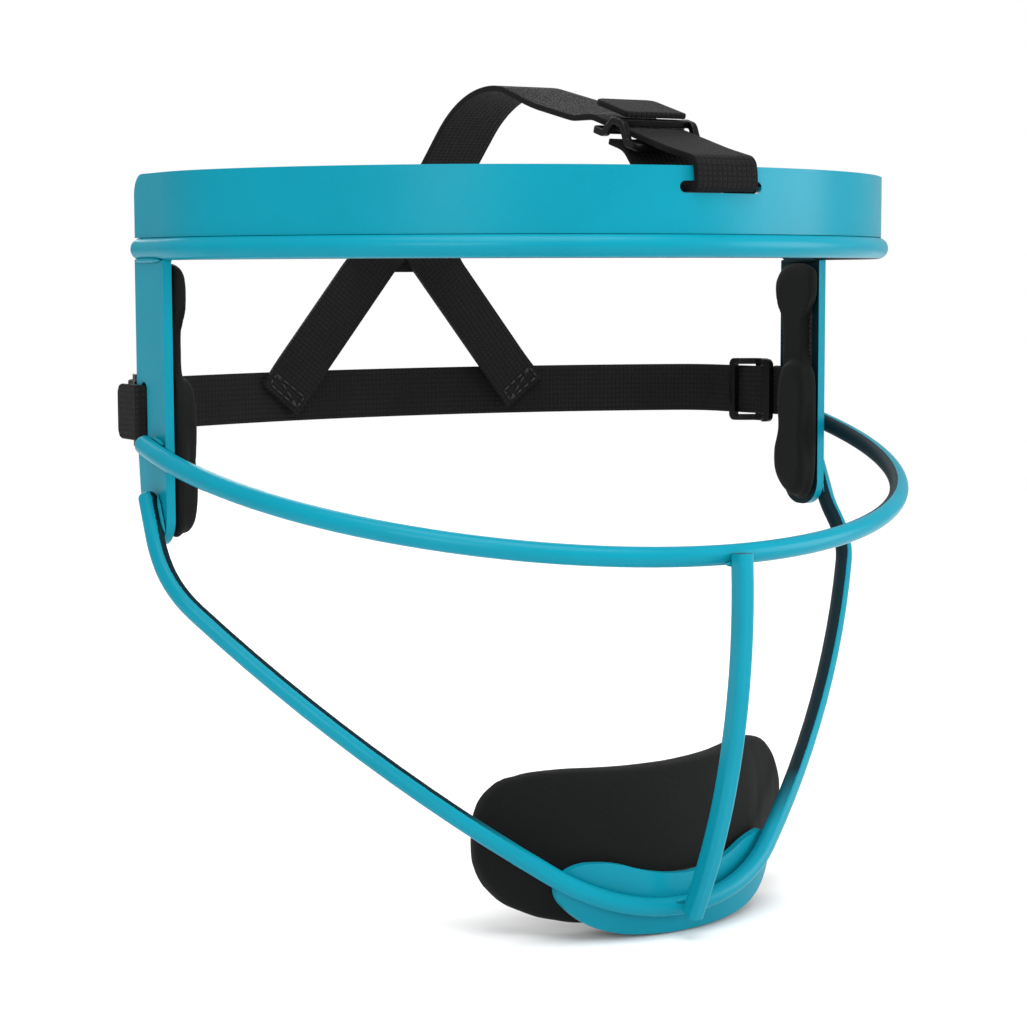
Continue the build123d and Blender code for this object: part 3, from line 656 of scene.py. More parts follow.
def crown_moves(thickness):
    """Runs and arcs of the crown strap, from the slot over the crown to the joint."""
    moves = [
        (SLOT_BRIDGE, 0), (CROWN_LIP, CROWN_RUN_TURN - 90), (CROWN_RUN, 0),
        (CROWN_CREST_RADIUS, CROWN_SLACK_TURN - CROWN_RUN_TURN), (CROWN_SLACK, 0),
        (CROWN_FALL_RADIUS, -CROWN_SLACK_TURN - JOINT_RISE),
    ]
    y = walk(crown_start(), 90, moves)[-1][0]
    fall = math.radians(JOINT_RISE)
    target = branch_joint_y(thickness) + thickness + WELD_GAP
    length = (target - y - JOINT_BEND * (1 - math.sin(fall))) / math.cos(fall)
    return moves + [(length, 0), (JOINT_BEND, JOINT_RISE - 90), (0.5, 0)]


def crown_start():
    """Where the crown strap stands outside the band, level with the slot's upper edge."""
    return -ROD_FRONT - CROWN_LIP, SLOT_TOP


def crown_run_start():
    """Where the crown strap's straight run starts, above the band's edge."""
    a = math.radians(CROWN_RUN_TURN)
    return -ROD_FRONT - CROWN_LIP * math.sin(a), BAND_TOP + CROWN_LIP * math.cos(a)


def branch_joint_y(thickness):
    """How far back the branches lie at the joint."""
    radius = rear_radius()
    y = rear_line() - radius + (radius - thickness - WELD_GAP) * math.cos(BRANCH_LEAVE)
    return y + BRANCH_LEAVE_RADIUS * (1 - math.cos(BRANCH_LEAVE))


# Welds, whose beads sit in the fillet between two pieces by this share of their radius

FILLET_SHARE = 0.62
CHIN_WELD_SPANS = ((-36, -20), (-8, 8), (20, 36))


def add_bead(bm, start, end, radius, phase):
    """One weld bead from start to end, in mm, with the ripples that a torch leaves."""
    count = max(8, int((end - start).length * 3))
    points, radii = [], []
    for i in range(count + 1):
        t = i / count
        points.append(start.lerp(end, t))
        taper = min(1.0, math.sqrt(max(0.02, 4 * min(t, 1 - t))))
        ripple = 1 + 0.04 * math.sin(5.2 * i + phase)
        radii.append(radius * taper * ripple)
    add_tube(bm, points, radii, 10)


def crotch(bar_radius, bead):
    """How far along a flat face a bead sits from the wire that it joins to it."""
    return 2 * math.sqrt(bar_radius * bead)


def plate_beads(bm, side, bead):
    """Beads of one side plate: under the rod, and along both wires on its outer face."""
    fillet = FILLET_SHARE * bead
    reach = PLATE_THICKNESS / 2 + fillet
    for across in (-1, 1):
        x = side * PLATE_MIDDLE + across * reach
        z = -math.sqrt((ROD_RADIUS + fillet) ** 2 - reach ** 2)
        add_bead(bm, Vector((x, PLATE_FRONT + 0.6, z)), Vector((x, PLATE_REAR - 0.8, z)), bead, across)
    outer = side * (PLATE_MIDDLE + reach)
    # Rise of each wire on the plate, a place on it, its radius, and its bead's ends from there
    wires = (
        (CHEEK_TILT, (0, -CHEEK_DROP), CHEEK_RADIUS, PLATE_FRONT + 0.9, CHEEK_REAR - 1.4),
        (math.pi / 2 - JAW_LEAD_ANGLE, JAW_KNEE, JAW_RADIUS, 2.6, JAW_LEAD - 1.4),
    )
    for order, (rise, place, radius, first, last) in enumerate(wires, 1):
        along = Vector((0, math.cos(rise), math.sin(rise)))
        out = Vector((0, -math.sin(rise), math.cos(rise)))
        for up in (-1, 1):
            foot = Vector((outer, *place)) + out * crotch(radius, fillet) * up
            add_bead(bm, foot + along * first, foot + along * last, bead, order * up)


def bar_beads(bm, bead):
    """Short beads behind the centre bar, under the upper wire and above the lower one."""
    fillet = FILLET_SHARE * bead
    half = BAR_WIDTH / 2 + 0.5
    for (y, z), radius, up in ((CHEEK_FRONT, CHEEK_RADIUS, -1), (CHIN_FRONT, JAW_RADIUS, 1)):
        height = z + up * crotch(radius, fillet)
        depth = y - radius + fillet
        add_bead(bm, Vector((-half, depth, height)), Vector((half, depth, height)), bead, up)


def chin_beads(bm, bead):
    """Stitch welds between the jaw wire and the chin plate, under the wire."""
    fillet = FILLET_SHARE * bead
    steps = 24
    for first, last in CHIN_WELD_SPANS:
        places = []
        for k in range(steps + 1):
            a = math.radians(first + (last - first) * k / steps)
            x = CHIN_BEND * math.sin(a)
            y = CHIN_FRONT[0] + JAW_RADIUS + WELD_GAP
            y += CHIN_PLATE_RADIUS - math.sqrt(CHIN_PLATE_RADIUS ** 2 - x ** 2) - fillet
            z = CHIN_FRONT[1] + CHIN_BEND * (1 - math.cos(a)) * math.cos(JAW_LEAN)
            places.append(Vector((x, y, z - crotch(JAW_RADIUS, fillet))))
        radii = [bead * min(1.0, 0.3 + 0.35 * min(k, steps - k)) for k in range(steps + 1)]
        add_tube(bm, places, radii, 10)


# Pads

SIDE_PAD_LENGTH = 58.6
SIDE_PAD_WIDTH = 11.8
SIDE_PAD_TOP = -3.0
SIDE_PAD_THICKNESS = 4.7
SIDE_PAD_BASE = 2.4
PATCH_THICKNESS = 0.8
PATCH_MARGIN = 2.2
# Across and down, as shares, round the base of a side pad from its top front corner
SIDE_PAD_BASE_OUTLINE = [
    (0.06, 0.03), (0.30, 0.005), (0.55, 0.0), (0.85, 0.003), (1.10, 0.02), (1.28, 0.06),
    (1.31, 0.10), (1.22, 0.16), (1.08, 0.20), (1.02, 0.26), (1.0, 0.33), (1.01, 0.40),
    (0.98, 0.52), (0.98, 0.66), (1.10, 0.74), (1.14, 0.82), (1.06, 0.91), (0.84, 0.965),
    (0.46, 1.0), (0.17, 0.965), (0.05, 0.88), (0.03, 0.76), (0.04, 0.60), (0.07, 0.48),
    (0.20, 0.425), (0.31, 0.37), (0.32, 0.30), (0.31, 0.23), (0.20, 0.185), (0.06, 0.14),
    (0.03, 0.09),
]
SIDE_PAD_CUSHION_OUTLINE = [
    (0.17, 0.445), (0.50, 0.41), (0.84, 0.44), (0.96, 0.56), (0.93, 0.70), (1.07, 0.80), (1.04, 0.89),
    (0.80, 0.955), (0.45, 0.985), (0.17, 0.945), (0.05, 0.85), (0.12, 0.745), (0.16, 0.72),
    (0.12, 0.695), (0.06, 0.56),
]
# Depth from the plate as a share of the thickness, then the outline's size
BASE_LAYERS = [(0.0, 0.95), (0.12, 0.985), (0.35, 1.0), (0.65, 0.99), (0.9, 0.95), (1.0, 0.88)]
CUSHION_LAYERS = [(0.25, 0.97), (0.5, 1.0), (0.75, 0.985), (0.92, 0.93), (1.0, 0.8)]
# Outline, the share down it about which it is scaled, thickness and layers
SIDE_PAD_SKINS = (
    (SIDE_PAD_BASE_OUTLINE, 0.5, SIDE_PAD_BASE, BASE_LAYERS),
    (SIDE_PAD_CUSHION_OUTLINE, 0.7, SIDE_PAD_THICKNESS, CUSHION_LAYERS),
)
CHIN_PAD_HALF = 41.25
CHIN_PAD_HEIGHT = 33.4
CHIN_PAD_THICKNESS = 12.5
CHIN_PAD_RISE = 11.8
# Across, then height, thickness and lift of each section, from the middle to one end
CHIN_PAD_SECTIONS = [
    (0.0, 1.0, 1.0, 0.0), (0.28, 1.0, 1.0, 0.005), (0.55, 0.99, 0.98, 0.022), (0.72, 0.93, 0.92, 0.04),
    (0.86, 0.8, 0.8, 0.058), (0.95, 0.57, 0.6, 0.07), (1.0, 0.3, 0.36, 0.072),
    (1.012, 0.14, 0.12, 0.072),
]
FOREHEAD_PAD_TURN = 62.0
FOREHEAD_PAD_HEIGHT = 9.8
FOREHEAD_PAD_DROP = 0.8
FOREHEAD_PAD_LIFT = 3.8
FOREHEAD_LIFT_GAP = 1.2
FOREHEAD_LIFT_RAMP = 1.5
FOREHEAD_PAD_THICKNESS = 7.0
FOREHEAD_PAD_ROUND = 3.5
PAD_CLEARANCE = 0.3


def side_pad_ring(outline, middle, depth, size, side):
    """One outline of a side pad, at a depth from the plate and scaled about its middle."""
    x = side * (PLATE_MIDDLE - PLATE_THICKNESS / 2 - PATCH_THICKNESS - depth)
    ring = []
    for across, down in smooth_loop(outline, 6):
        y = PLATE_FRONT - PATCH_MARGIN / 2 + SIDE_PAD_WIDTH * (0.5 + (across - 0.5) * size)
        z = SIDE_PAD_TOP - SIDE_PAD_LENGTH * (middle + (down - middle) * size)
        ring.append(Vector((x, y, z)))
    return ring


def chin_pad_back(x):
    """How far the chin pad's outer face lies behind its middle: with the plate, then straight on."""
    radius = CHIN_PLATE_RADIUS - CHIN_PLATE_THICKNESS - PATCH_THICKNESS - 2 * PAD_CLEARANCE
    edge = min(abs(x), CHIN_PLATE_HALF)
    slope = edge / math.sqrt(radius ** 2 - edge ** 2)
    return radius - math.sqrt(radius ** 2 - edge ** 2) + (abs(x) - edge) * slope


def rounded_section(half_out, half_up, out_power, up_power, count):
    """Offsets round a section, whose corners are squarer the smaller the powers are."""
    section = []
    for k in range(count):
        a = math.tau * k / count
        out, up = math.cos(a), math.sin(a)
        section.append((
            half_out * math.copysign(abs(out) ** out_power, out),
            half_up * math.copysign(abs(up) ** up_power, up),
        ))
    return section


def chin_pad_ring(across):
    """Upright section of the chin pad: crowned faces, full round top and bottom."""
    tall, thick, lift = table_between(CHIN_PAD_SECTIONS, abs(across))
    half_height = CHIN_PAD_HEIGHT * tall / 2
    half_thick = CHIN_PAD_THICKNESS * thick / 2
    reach = CHIN_PAD_HALF * across
    x = CHIN_SHIFT + reach
    y = CHIN_FRONT[0] + JAW_RADIUS + WELD_GAP + CHIN_PLATE_THICKNESS + PATCH_THICKNESS + PAD_CLEARANCE
    y += chin_pad_back(x) + half_thick
    z = CHIN_FRONT[1] + CHIN_PAD_RISE + CHIN_PAD_HEIGHT * lift + reach * math.tan(CHIN_TILT)
    return [
        Vector((x, y + out, z + up))
        for out, up in rounded_section(half_thick, half_height, 0.62, 0.72, 36)
    ]


def brow_place(radius, angle, height):
    """A place inside the brow, at an angle from its middle."""
    return Vector((radius * math.sin(angle), BROW_RADIUS - ROD_FRONT - radius * math.cos(angle), height))


def forehead_ring(angle, height, squeeze):
    """Upright section of the forehead pad, at an angle from its middle."""
    depth = FOREHEAD_PAD_THICKNESS
    radius = BROW_RADIUS - ROD_RADIUS - PAD_CLEARANCE - depth / 2
    middle = height / 2 - FOREHEAD_PAD_DROP
    return [
        brow_place(radius + out, angle, middle + up)
        for out, up in rounded_section(depth / 2 * squeeze, height / 2 * squeeze, 0.55, 0.55, 24)
    ]


# Hook patches

CHIN_PATCH_SHARE = 0.82
CHIN_PATCH_LIFT = 3.0
CHIN_PATCH_DROP = 1.5
SIDE_PATCH_SHARE = 0.4


def stick_patch(name, places, tape, node):
    """Makes a thin patch from a grid of places in mm, which stands for a node."""
    bm = bmesh.new()
    add_sheet(bm, [[bm.verts.new(place * 0.001) for place in row] for row in places])
    patch = piece_from(bm, name)
    thicken(patch, PATCH_THICKNESS * 0.001)
    settle_modifiers(patch)
    finish_piece(patch, tape)
    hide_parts(node)


def rounded_patch(half_width, half_height, corner, columns=10):
    """Columns of a patch with rounded corners, as (across, half height there)."""
    rows = []
    for i in range(columns * 2 + 1):
        x = half_width * math.sin(math.pi / 2 * (i / columns - 1))
        rows.append((x, rounded_half(half_height, half_width - abs(x), corner)))
    return rows


# Steps of the work, one operator for each

class FACEGUARD_OT_coat_frame(bpy.types.Operator):
    """Coats the rods, wires, plates and band"""

    bl_idname = "face_guard.coat_frame"
    bl_label = "Coat the Frame"

    steel_nodes = (
        "brow_rod", "forehead_band", "cheek_wire", "jaw_wire", "centre_bar", "chin_plate",
        "side_plate_left", "side_plate_right",
    )

    def execute(self, context):
        coat = make_coat(context.scene.face_guard.steel)
        for name in self.steel_nodes:
            dress(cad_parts[name], coat)
        return {"FINISHED"}


class FACEGUARD_OT_lay_welds(bpy.types.Operator):
    """Lays the weld beads of the frame and coats them"""

    bl_idname = "face_guard.lay_welds"
    bl_label = "Lay the Welds"

    def execute(self, context):
        bead = context.scene.face_guard.steel.weld_radius * 1000
        coat = bpy.data.materials["powder_coat"]
        for label, side in SIDES.items():
            bm = bmesh.new()
            plate_beads(bm, side, bead)
            finish_piece(piece_from(bm, "plate_welds_" + label), coat)
        for name, lay in (("bar_welds", bar_beads), ("chin_welds", chin_beads)):
            bm = bmesh.new()
            lay(bm, bead)
            finish_piece(piece_from(bm, name), coat)
        return {"FINISHED"}


class FACEGUARD_OT_fit_side_pads(bpy.types.Operator):
    """Moulds the two side pads, each a base with a cushion on its lower part"""

    bl_idname = "face_guard.fit_side_pads"
    bl_label = "Fit the Side Pads"

    def execute(self, context):
        foam = context.scene.face_guard.foam
        make_foam(foam)
        for label, side in SIDES.items():
            skins = [
                [side_pad_ring(outline, middle, thickness * deep, size, side) for deep, size in layers]
                for outline, middle, thickness, layers in SIDE_PAD_SKINS
            ]
            pad = mould_foam("side_foam_" + label, skins, 0.0004, 5)
            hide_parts("side_pad_" + label)
        return {"FINISHED"}


class FACEGUARD_OT_fit_chin_pad(bpy.types.Operator):
    """Moulds the foam cup of the chin"""

    bl_idname = "face_guard.fit_chin_pad"
    bl_label = "Fit the Chin Pad"

    def execute(self, context):
        end = CHIN_PAD_SECTIONS[-1][0]
        rings = [chin_pad_ring(end * math.sin(math.pi / 2 * k / 24)) for k in range(-24, 25)]
        pad = mould_foam("chin_foam", [rings], 0.0008, 8)
        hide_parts("chin_pad")
        return {"FINISHED"}


class FACEGUARD_OT_fit_forehead_pad(bpy.types.Operator):
    """Moulds the foam strip inside the band"""

    bl_idname = "face_guard.fit_forehead_pad"
    bl_label = "Fit the Forehead Pad"

    def execute(self, context):
        half = math.radians(FOREHEAD_PAD_TURN)
        rings = []
        steps = 90
        for k in range(-steps, steps + 1):
            t = k / steps
            to_end = (1 - abs(t)) * half * BROW_RADIUS / FOREHEAD_PAD_ROUND
            squeeze = 1.0 if to_end > 1 else math.sqrt(max(0.03, 1 - (1 - to_end) ** 2))
            # Beside the crown strap's loop the foam stands higher
            beside = abs(half * t * BROW_RADIUS) - CROWN_WIDTH / 2 - FOREHEAD_LIFT_GAP
            lift = FOREHEAD_PAD_LIFT * min(1.0, max(0.0, beside / FOREHEAD_LIFT_RAMP))
            rings.append(forehead_ring(half * t, FOREHEAD_PAD_HEIGHT + lift, squeeze))
        pad = mould_foam("forehead_foam", [rings], 0.0009, 3)
        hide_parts("forehead_pad")
        return {"FINISHED"}


class FACEGUARD_OT_stick_hook_patches(bpy.types.Operator):
    """Sticks the hook patches that hold the pads"""

    bl_idname = "face_guard.stick_hook_patches"
    bl_label = "Stick the Hook Patches"

    def execute(self, context):
        tape = make_hook_tape()
        half_width = SIDE_PAD_WIDTH / 4
        for label, side in SIDES.items():
            x = side * (PLATE_MIDDLE - PLATE_THICKNESS / 2 - PATCH_THICKNESS / 2)
            y = PLATE_FRONT + PATCH_MARGIN + half_width
            z = SIDE_PAD_TOP - SIDE_PAD_LENGTH / 2
            rows = [
                [Vector((x, y + across, z + height * k / 6)) for k in range(-6, 7)]
                for across, height in rounded_patch(half_width, SIDE_PAD_LENGTH * SIDE_PATCH_SHARE, 2.0)
            ]
            stick_patch("side_hook_tape_" + label, rows, tape, "side_hook_patch_" + label)
        radius = CHIN_PLATE_RADIUS - CHIN_PLATE_THICKNESS - PATCH_THICKNESS / 2
        middle = CHIN_FRONT[0] + JAW_RADIUS + WELD_GAP + CHIN_PLATE_RADIUS
        low, high = CHIN_PLATE_FOOT + PATCH_MARGIN, CHIN_PLATE_FOOT + CHIN_PLATE_HEIGHT - PATCH_MARGIN
        rows = []
        for across, height in rounded_patch(CHIN_PLATE_HALF - PATCH_MARGIN, (high - low) / 2, 5.0, 16):
            lift = CHIN_PATCH_LIFT * (across / CHIN_PLATE_HALF) ** 2 - CHIN_PATCH_DROP
            x = CHIN_SHIFT + across
            y = middle - math.sqrt(radius ** 2 - x ** 2)
            foot = (low + high) / 2 + lift + across * math.tan(CHIN_TILT)
            height *= CHIN_PATCH_SHARE
            rows.append([Vector((x, y, foot + height * k / 6)) for k in range(-6, 7)])
        stick_patch("chin_hook_tape", rows, tape, "chin_hook_patch")
        rows = []
        steps = 48
        half = math.radians(FOREHEAD_PAD_TURN - PATCH_MARGIN)
        radius = BROW_RADIUS - BAND_THICKNESS / 2 - PATCH_THICKNESS / 2
        height = FOREHEAD_PAD_HEIGHT - FOREHEAD_PAD_DROP - ROD_RADIUS
        for k in range(-steps, steps + 1):
            a = half * k / steps
            rows.append([brow_place(radius, a, ROD_RADIUS + height * j / 6) for j in range(7)])
        stick_patch("forehead_hook_tape", rows, tape, "forehead_hook_patch")
        return {"FINISHED"}


class FACEGUARD_OT_thread_back_strap(bpy.types.Operator):
    """Threads the back strap through both plates"""

    bl_idname = "face_guard.thread_back_strap"
    bl_label = "Thread the Back Strap"

    def execute(self, context):
        webbing = context.scene.face_guard.webbing
        weave = make_weave(webbing)
        start = (FOLD_CENTRE[0] + FOLD_RADIUS, FOLD_CENTRE[1] + TAIL_LENGTH)
        up = Vector((0, 0, 1))
        places = [
            (Vector((x, y, STRAP_HEIGHT)), up, gone)
            for x, y, _, gone in walk(start, -90, back_strap_moves())
        ]
        strap = make_strap("back_webbing", places, STRAP_WIDTH, webbing, (STRAP_TIP, STRAP_TIP))
        finish_piece(strap, weave)
        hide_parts("back_strap")
        return {"FINISHED"}


def branch_wall(x, z, thickness, foot=math.inf):
    """How far back the branches' webbing lies, which bends forward above the joint's foot."""
    radius = rear_radius() - thickness - WELD_GAP
    middle = rear_line() - rear_radius()
    straight = (radius - BRANCH_LEAVE_RADIUS) * math.sin(BRANCH_LEAVE)
    x = abs(x)
    if x > radius * math.sin(BRANCH_LEAVE):
        return middle + math.sqrt(radius ** 2 - x ** 2)
    y = branch_joint_y(thickness)
    if x > straight:
        y += math.sqrt(BRANCH_LEAVE_RADIUS ** 2 - (x - straight) ** 2) - BRANCH_LEAVE_RADIUS
    if z > foot:
        bend = JOINT_BEND - thickness - WELD_GAP
        turn = math.radians(90 - JOINT_RISE)
        rise = z - foot
        if rise < bend * math.sin(turn):
            return y - bend + math.sqrt(bend ** 2 - rise ** 2)
        y -= bend * (1 - math.cos(turn))
        y -= (rise - bend * math.sin(turn)) / math.tan(math.radians(JOINT_RISE))
    return y


def off_branch(side, place, thickness, out):
    """A place on a branch, moved off the middle of its webbing."""
    return Vector((side * place.x, branch_wall(place.x, place.z, thickness) + out, place.z))


def make_branch(name, side, webbing):
    """One branch, cut where it meets the other and bent forward at the joint."""
    thickness = webbing.thickness * 1000
    foot = walk(crown_start(), 90, crown_moves(thickness)[:-1])[-1][1]
    bm = bmesh.new()
    bm.verts.layers.float_vector.new("weave")
    rows = []
    count = 72
    for i in range(count + 1):
        t = -BRANCH_LAP + (BRANCH_REACH + BRANCH_LAP) * i / count
        middle = BRANCH_START + BRANCH_ALONG * t
        rows.append(woven_row(bm, middle, BRANCH_OVER, STRAP_WIDTH / 2, t, 12))
    add_sheet(bm, rows)
    cuts = (((WELD_GAP / 2, 0, 0), -SIDEWAYS), ((0, 0, foot + BRANCH_TOP), (0, 0, 1)))
    for place, normal in cuts:
        geometry = bm.verts[:] + bm.edges[:] + bm.faces[:]
        bmesh.ops.bisect_plane(bm, geom=geometry, plane_co=place, plane_no=normal, clear_outer=True)
    for vert in bm.verts:
        x, z = vert.co.x, vert.co.z
        vert.co = mm(side * x, branch_wall(x, z, thickness, foot), z)
    return thicken_strap(piece_from(bm, name), webbing)


def make_stitches(name, side, webbing):
    """Box of stitches at a branch's foot, on the head's side and on the back strap's outside."""
    thickness = webbing.thickness * 1000
    pitch = webbing.stitch_length * 1000 * 1.25
    half = STRAP_WIDTH / 2 - STITCH_MARGIN
    low, high = STITCH_BOX
    corners = [
        BRANCH_START + BRANCH_OVER * u + BRANCH_ALONG * t
        for u, t in (
            (-half, low), (half, low), (half, high), (-half, high), (-half, low), (half, high))
    ]
    bm = bmesh.new()
    for first, last in zip(corners, corners[1:]):
        count = max(2, round((last - first).length / pitch))
        for i in range(count):
            ends = [first.lerp(last, (i + share) / count) for share in STITCH_SPAN]
            for out, level in ((-1, thickness / 2), (1, thickness * 1.5 + WELD_GAP)):
                off = out * (level - THREAD_RADII[0])
                p, q = (off_branch(side, end, thickness, off) for end in ends)
                middle = (p + q) / 2 + Vector((0, out * STITCH_RISE, 0))
                line = [p, p.lerp(middle, 0.6), middle, q.lerp(middle, 0.6), q]
                add_tube(bm, line, THREAD_RADII, 6)
    return piece_from(bm, name)


class FACEGUARD_OT_sew_branches(bpy.types.Operator):
    """Sews the two slanting straps that frame the ponytail opening"""

    bl_idname = "face_guard.sew_branches"
    bl_label = "Sew the Branches"

    def execute(self, context):
        webbing = context.scene.face_guard.webbing
        weave = bpy.data.materials["woven_webbing"]
        thread = make_thread(webbing)
        for label, side in SIDES.items():
            piece = make_branch("ponytail_webbing_" + label, side, webbing)
            finish_piece(piece, weave)
            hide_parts("ponytail_strap_" + label)
            stitches = make_stitches("branch_stitches_" + label, side, webbing)
            finish_piece(stitches, thread)
        return {"FINISHED"}


def loop_shift(gone):
    """How far the strap sits to the left of its line, since its loop is pulled along the slot."""
    return LOOP_PULL * (1 + math.cos(math.pi * min(1.0, gone / LOOP_PULL_REACH))) / 2


def crown_return_moves():
    """The strap's way in through the slot and back up under the slide."""
    turn = CROWN_LIP - BAND_THICKNESS / 2
    rise, run = math.radians(CROWN_RETURN_RISE), math.radians(CROWN_RUN_TURN)
    y = -ROD_FRONT - BAND_THICKNESS / 2 + CROWN_RETURN
    y += CROWN_RETURN_BEND * (2 * math.sin(rise) - math.sin(run))
    z = SLOT_TOP - SLOT_DROP - turn + CROWN_RETURN_BEND * (1 - 2 * math.cos(rise) + math.cos(run))
    first = crown_run_start()
    below = (y - first[0]) * math.sin(run) - (z - first[1]) * math.cos(run)
    climb = (below - CROWN_LAYER) / math.sin(rise - run)
    return [
        (SLOT_DROP, 0), (turn, 90), (CROWN_RETURN, 0), (CROWN_RETURN_BEND, CROWN_RETURN_RISE),
        (climb, 0), (CROWN_RETURN_BEND, CROWN_RUN_TURN - CROWN_RETURN_RISE), (4.0, 0),
    ]


def crown_across(heading, gone, webbing):
    """Direction across the strap, turned where the slack is twisted."""
    start, full, end, flat = CROWN_TWIST_SPAN
    rise = min(1.0, max(0.0, (gone - start) / (full - start)))
    ease = min(1.0, max(0.0, (gone - end) / (flat - end)))
    share = (math.cos(math.pi * ease) - math.cos(math.pi * rise)) / 2
    line = Vector((0, math.cos(heading), math.sin(heading)))
    return Matrix.Rotation(webbing.crown_twist * share, 3, line) @ SIDEWAYS


def make_crown_tail(webbing):
    """The loose end on top of the slide."""
    a = math.radians(CROWN_RUN_TURN)
    along = Vector((0, math.cos(a), math.sin(a)))
    above = Vector((0, -math.sin(a), math.cos(a)))
    start = Vector((0, *crown_run_start())) + along * CROWN_TAIL_START + above * CROWN_LAYER
    steps = 14
    places = []
    for i in range(steps + 1):
        gone = CROWN_TAIL_LENGTH * i / steps
        places.append((start + along * gone, SIDEWAYS, gone))
    return make_strap("crown_tail_webbing", places, CROWN_WIDTH, webbing, (0, STRAP_TIP))


class FACEGUARD_OT_thread_crown_strap(bpy.types.Operator):
    """Threads the crown strap through the band's slot and leads it down to the branches' joint"""

    bl_idname = "face_guard.thread_crown_strap"
    bl_label = "Thread the Crown Strap"

    def execute(self, context):
        webbing = context.scene.face_guard.webbing
        weave = bpy.data.materials["woven_webbing"]
        thickness = webbing.thickness * 1000
        over = walk(crown_start(), 90, crown_moves(thickness))
        back = walk(crown_start(), -90, crown_return_moves())
        total = back[-1][3]
        places = [
            (Vector((loop_shift(gone), y, z)), SIDEWAYS, total - gone)
            for y, z, _, gone in reversed(back[1:])
        ]
        for y, z, heading, gone in over:
            side = crown_across(heading, gone, webbing)
            held = (SIDEWAYS - side) * (CROWN_WIDTH / 2)
            places.append((Vector((loop_shift(gone), y, z)) + held, side, total + gone))
        strap = make_strap("crown_webbing", places, CROWN_WIDTH, webbing)
        finish_piece(strap, weave)
        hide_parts("crown_strap")
        tail = make_crown_tail(webbing)
        finish_piece(tail, weave)
        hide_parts("crown_tail")
        return {"FINISHED"}


class FACEGUARD_OT_mould_slides(bpy.types.Operator):
    """Gives the three slides their plastic and their softened edges"""

    bl_idname = "face_guard.mould_slides"
    bl_label = "Mould the Slides"

    def execute(self, context):
        slides = context.scene.face_guard.slides
        plastic = make_plastic(slides)
        for name in ("side_slide_left", "side_slide_right", "crown_slide"):
            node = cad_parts[name]
            dress(node, plastic)
            weld = node.modifiers.new("weld", "WELD")
            weld.merge_threshold = 0.00001
            add_bevel(node, slides.edge_radius, 40).harden_normals = True
        return {"FINISHED"}


# Where each lamp stands, what it is aimed at, its size in metres and its power in watts
LAMPS = (
    ("overhead_softbox", (-0.1, -0.35, 0.9), (0, 0, -0.05), 0.9, 11.0),
    ("front_softbox", (-1.0, -1.1, 0.45), (0, 0, -0.06), 0.8, 10.5),
    ("right_fill", (1.1, -0.7, 0.2), (0, 0, -0.06), 0.9, 12.0),
    ("rear_fill", (0.3, 1.2, 0.7), (0, 0, -0.06), 1.0, 8.0),
)


def lay_floor(stage):
    """A wide round floor just under the guard."""
    bm = bmesh.new()
    level = cad_low.z - 0.0004
    turns = [math.tau * k / 64 for k in range(64)]
    centre = bm.verts.new((0, 0, level))
    before = None
    for step in range(11):
        radius = 0.05 * 1.35 ** step
        ring = [bm.verts.new((radius * math.cos(a), radius * math.sin(a), level)) for a in turns]
        for k in range(-1, len(turns) - 1):
            if before:
                bm.faces.new((before[k], ring[k], ring[k + 1], before[k + 1]))
            else:
                bm.faces.new((centre, ring[k], ring[k + 1]))
        before = ring
    floor = piece_from(bm, "floor")
    dress(floor, make_floor_finish(stage))


def set_lamps(context, stage):
    """Large soft lamps and an even pale surround."""
    for name, place, aim, size, power in LAMPS:
        lamp = bpy.data.lights.new(name, "AREA")
        lamp.shape = "DISK"
        lamp.size = size
        lamp.energy = power * stage.light_strength
        holder = bpy.data.objects.new(name, lamp)
        holder.location = place
        holder.rotation_mode = "QUATERNION"
        holder.rotation_quaternion = (Vector(aim) - Vector(place)).to_track_quat("-Z", "Y")
        context.scene.collection.objects.link(holder)
    world = bpy.data.worlds.new("pale_surround")
    world.use_nodes = True
    tree = world.node_tree
    background = tree.nodes["Background"]
    background.inputs["Color"].default_value = (1, 1, 1, 1)
    background.inputs["Strength"].default_value = 0.55
    seen = wire(tree, "Background", {"Color": (1, 1, 1, 1), "Strength": 1.0})
    path = wire(tree, "LightPath")
    chosen = wire(tree, "MixShader", {
        0: path.outputs["Is Camera Ray"],
        1: background.outputs[0],
        2: seen.outputs[0],
    })
    tree.links.new(chosen.outputs[0], tree.nodes["World Output"].inputs["Surface"])
    context.scene.world = world


def place_camera(context, stage):
    """The camera, where the photograph was taken from."""
    lens = bpy.data.cameras.new("camera")
    lens.sensor_width = 36
    lens.lens = stage.lens
    camera = bpy.data.objects.new("camera", lens)
    camera.location = stage.camera_place
    turn = Matrix.Rotation(-stage.camera_pan, 3, "Z")
    turn = turn @ Matrix.Rotation(math.pi / 2 + stage.camera_tilt, 3, "X")
    turn = turn @ Matrix.Rotation(stage.camera_roll, 3, "Z")
    camera.rotation_mode = "QUATERNION"
    camera.rotation_quaternion = turn.to_quaternion()
    context.scene.collection.objects.link(camera)
    context.scene.camera = camera


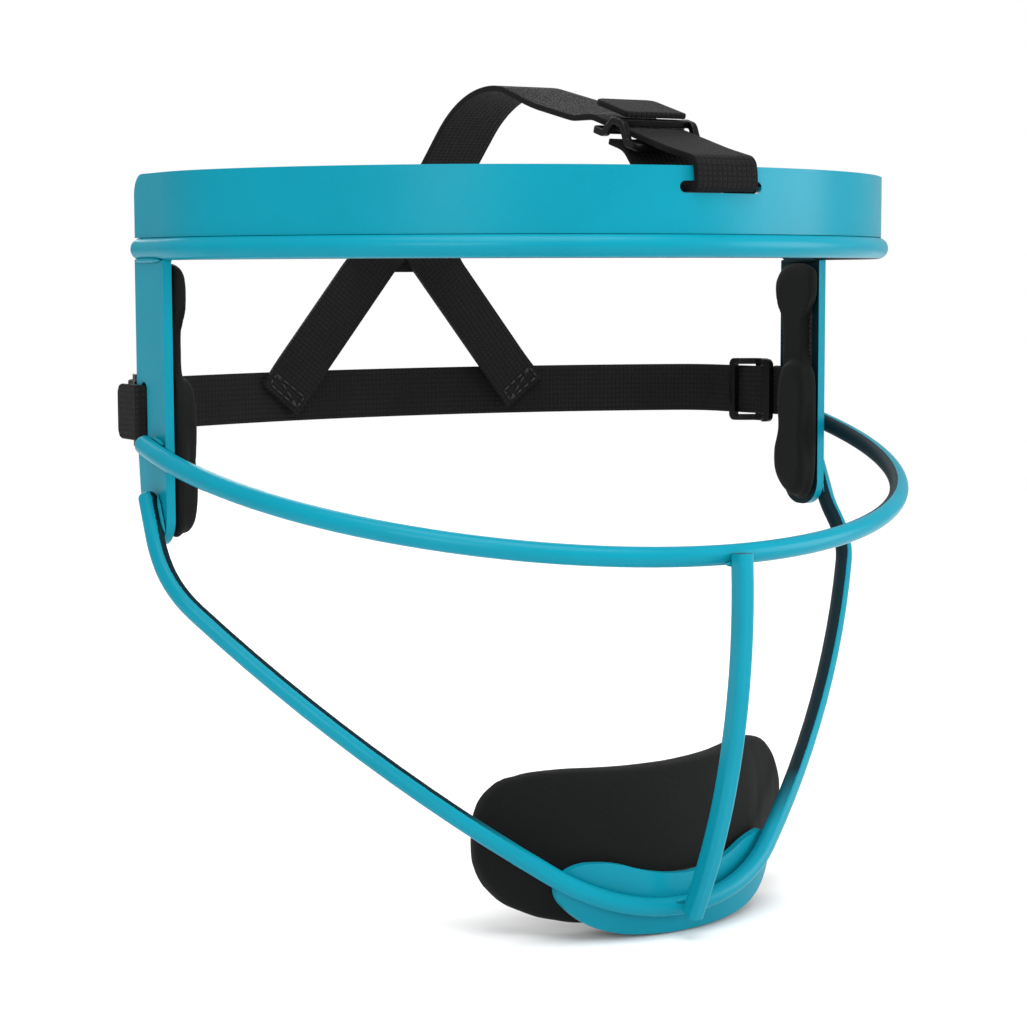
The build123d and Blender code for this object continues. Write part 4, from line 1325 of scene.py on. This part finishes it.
class FACEGUARD_OT_set_stage(bpy.types.Operator):
    """Sets the floor, the lights and the camera"""

    bl_idname = "face_guard.set_stage"
    bl_label = "Set the Stage"

    def execute(self, context):
        stage = context.scene.face_guard.stage
        lay_floor(stage)
        set_lamps(context, stage)
        place_camera(context, stage)
        context.scene.view_settings.view_transform = "Standard"
        return {"FINISHED"}

STEPS = (
    FACEGUARD_OT_coat_frame,
    FACEGUARD_OT_lay_welds,
    FACEGUARD_OT_fit_side_pads,
    FACEGUARD_OT_fit_chin_pad,
    FACEGUARD_OT_fit_forehead_pad,
    FACEGUARD_OT_stick_hook_patches,
    FACEGUARD_OT_thread_back_strap,
    FACEGUARD_OT_sew_branches,
    FACEGUARD_OT_thread_crown_strap,
    FACEGUARD_OT_mould_slides,
    FACEGUARD_OT_set_stage,
)


class FACEGUARD_PT_steps(bpy.types.Panel):
    """The steps of the work and their settings."""

    bl_idname = "FACEGUARD_PT_steps"
    bl_label = "Face Guard"
    bl_space_type = "VIEW_3D"
    bl_region_type = "UI"
    bl_category = "Face Guard"

    def draw(self, context):
        for step in STEPS:
            self.layout.operator(step.bl_idname)
        settings = context.scene.face_guard
        for group in (settings.steel, settings.foam, settings.webbing, settings.slides, settings.stage):
            box = self.layout.box()
            for name in group.bl_rna.properties.keys():
                if name not in ("rna_type", "name"):
                    box.prop(group, name)


CLASSES = (
    FaceGuardSteel, FaceGuardFoam, FaceGuardWebbing, FaceGuardSlides, FaceGuardStage, FaceGuardSettings,
    *STEPS, FACEGUARD_PT_steps,
)


def register():
    """Registers the classes and the settings."""
    for cls in CLASSES:
        bpy.utils.register_class(cls)
    bpy.types.Scene.face_guard = bpy.props.PointerProperty(type=FaceGuardSettings)


def unregister():
    """Takes the settings and the classes away again."""
    del bpy.types.Scene.face_guard
    for cls in reversed(CLASSES):
        bpy.utils.unregister_class(cls)


def main():
    """Runs every step in order."""
    register()
    for step in STEPS:
        group, name = step.bl_idname.split(".")
        getattr(getattr(bpy.ops, group), name)()


if __name__ == "__main__":
    main()
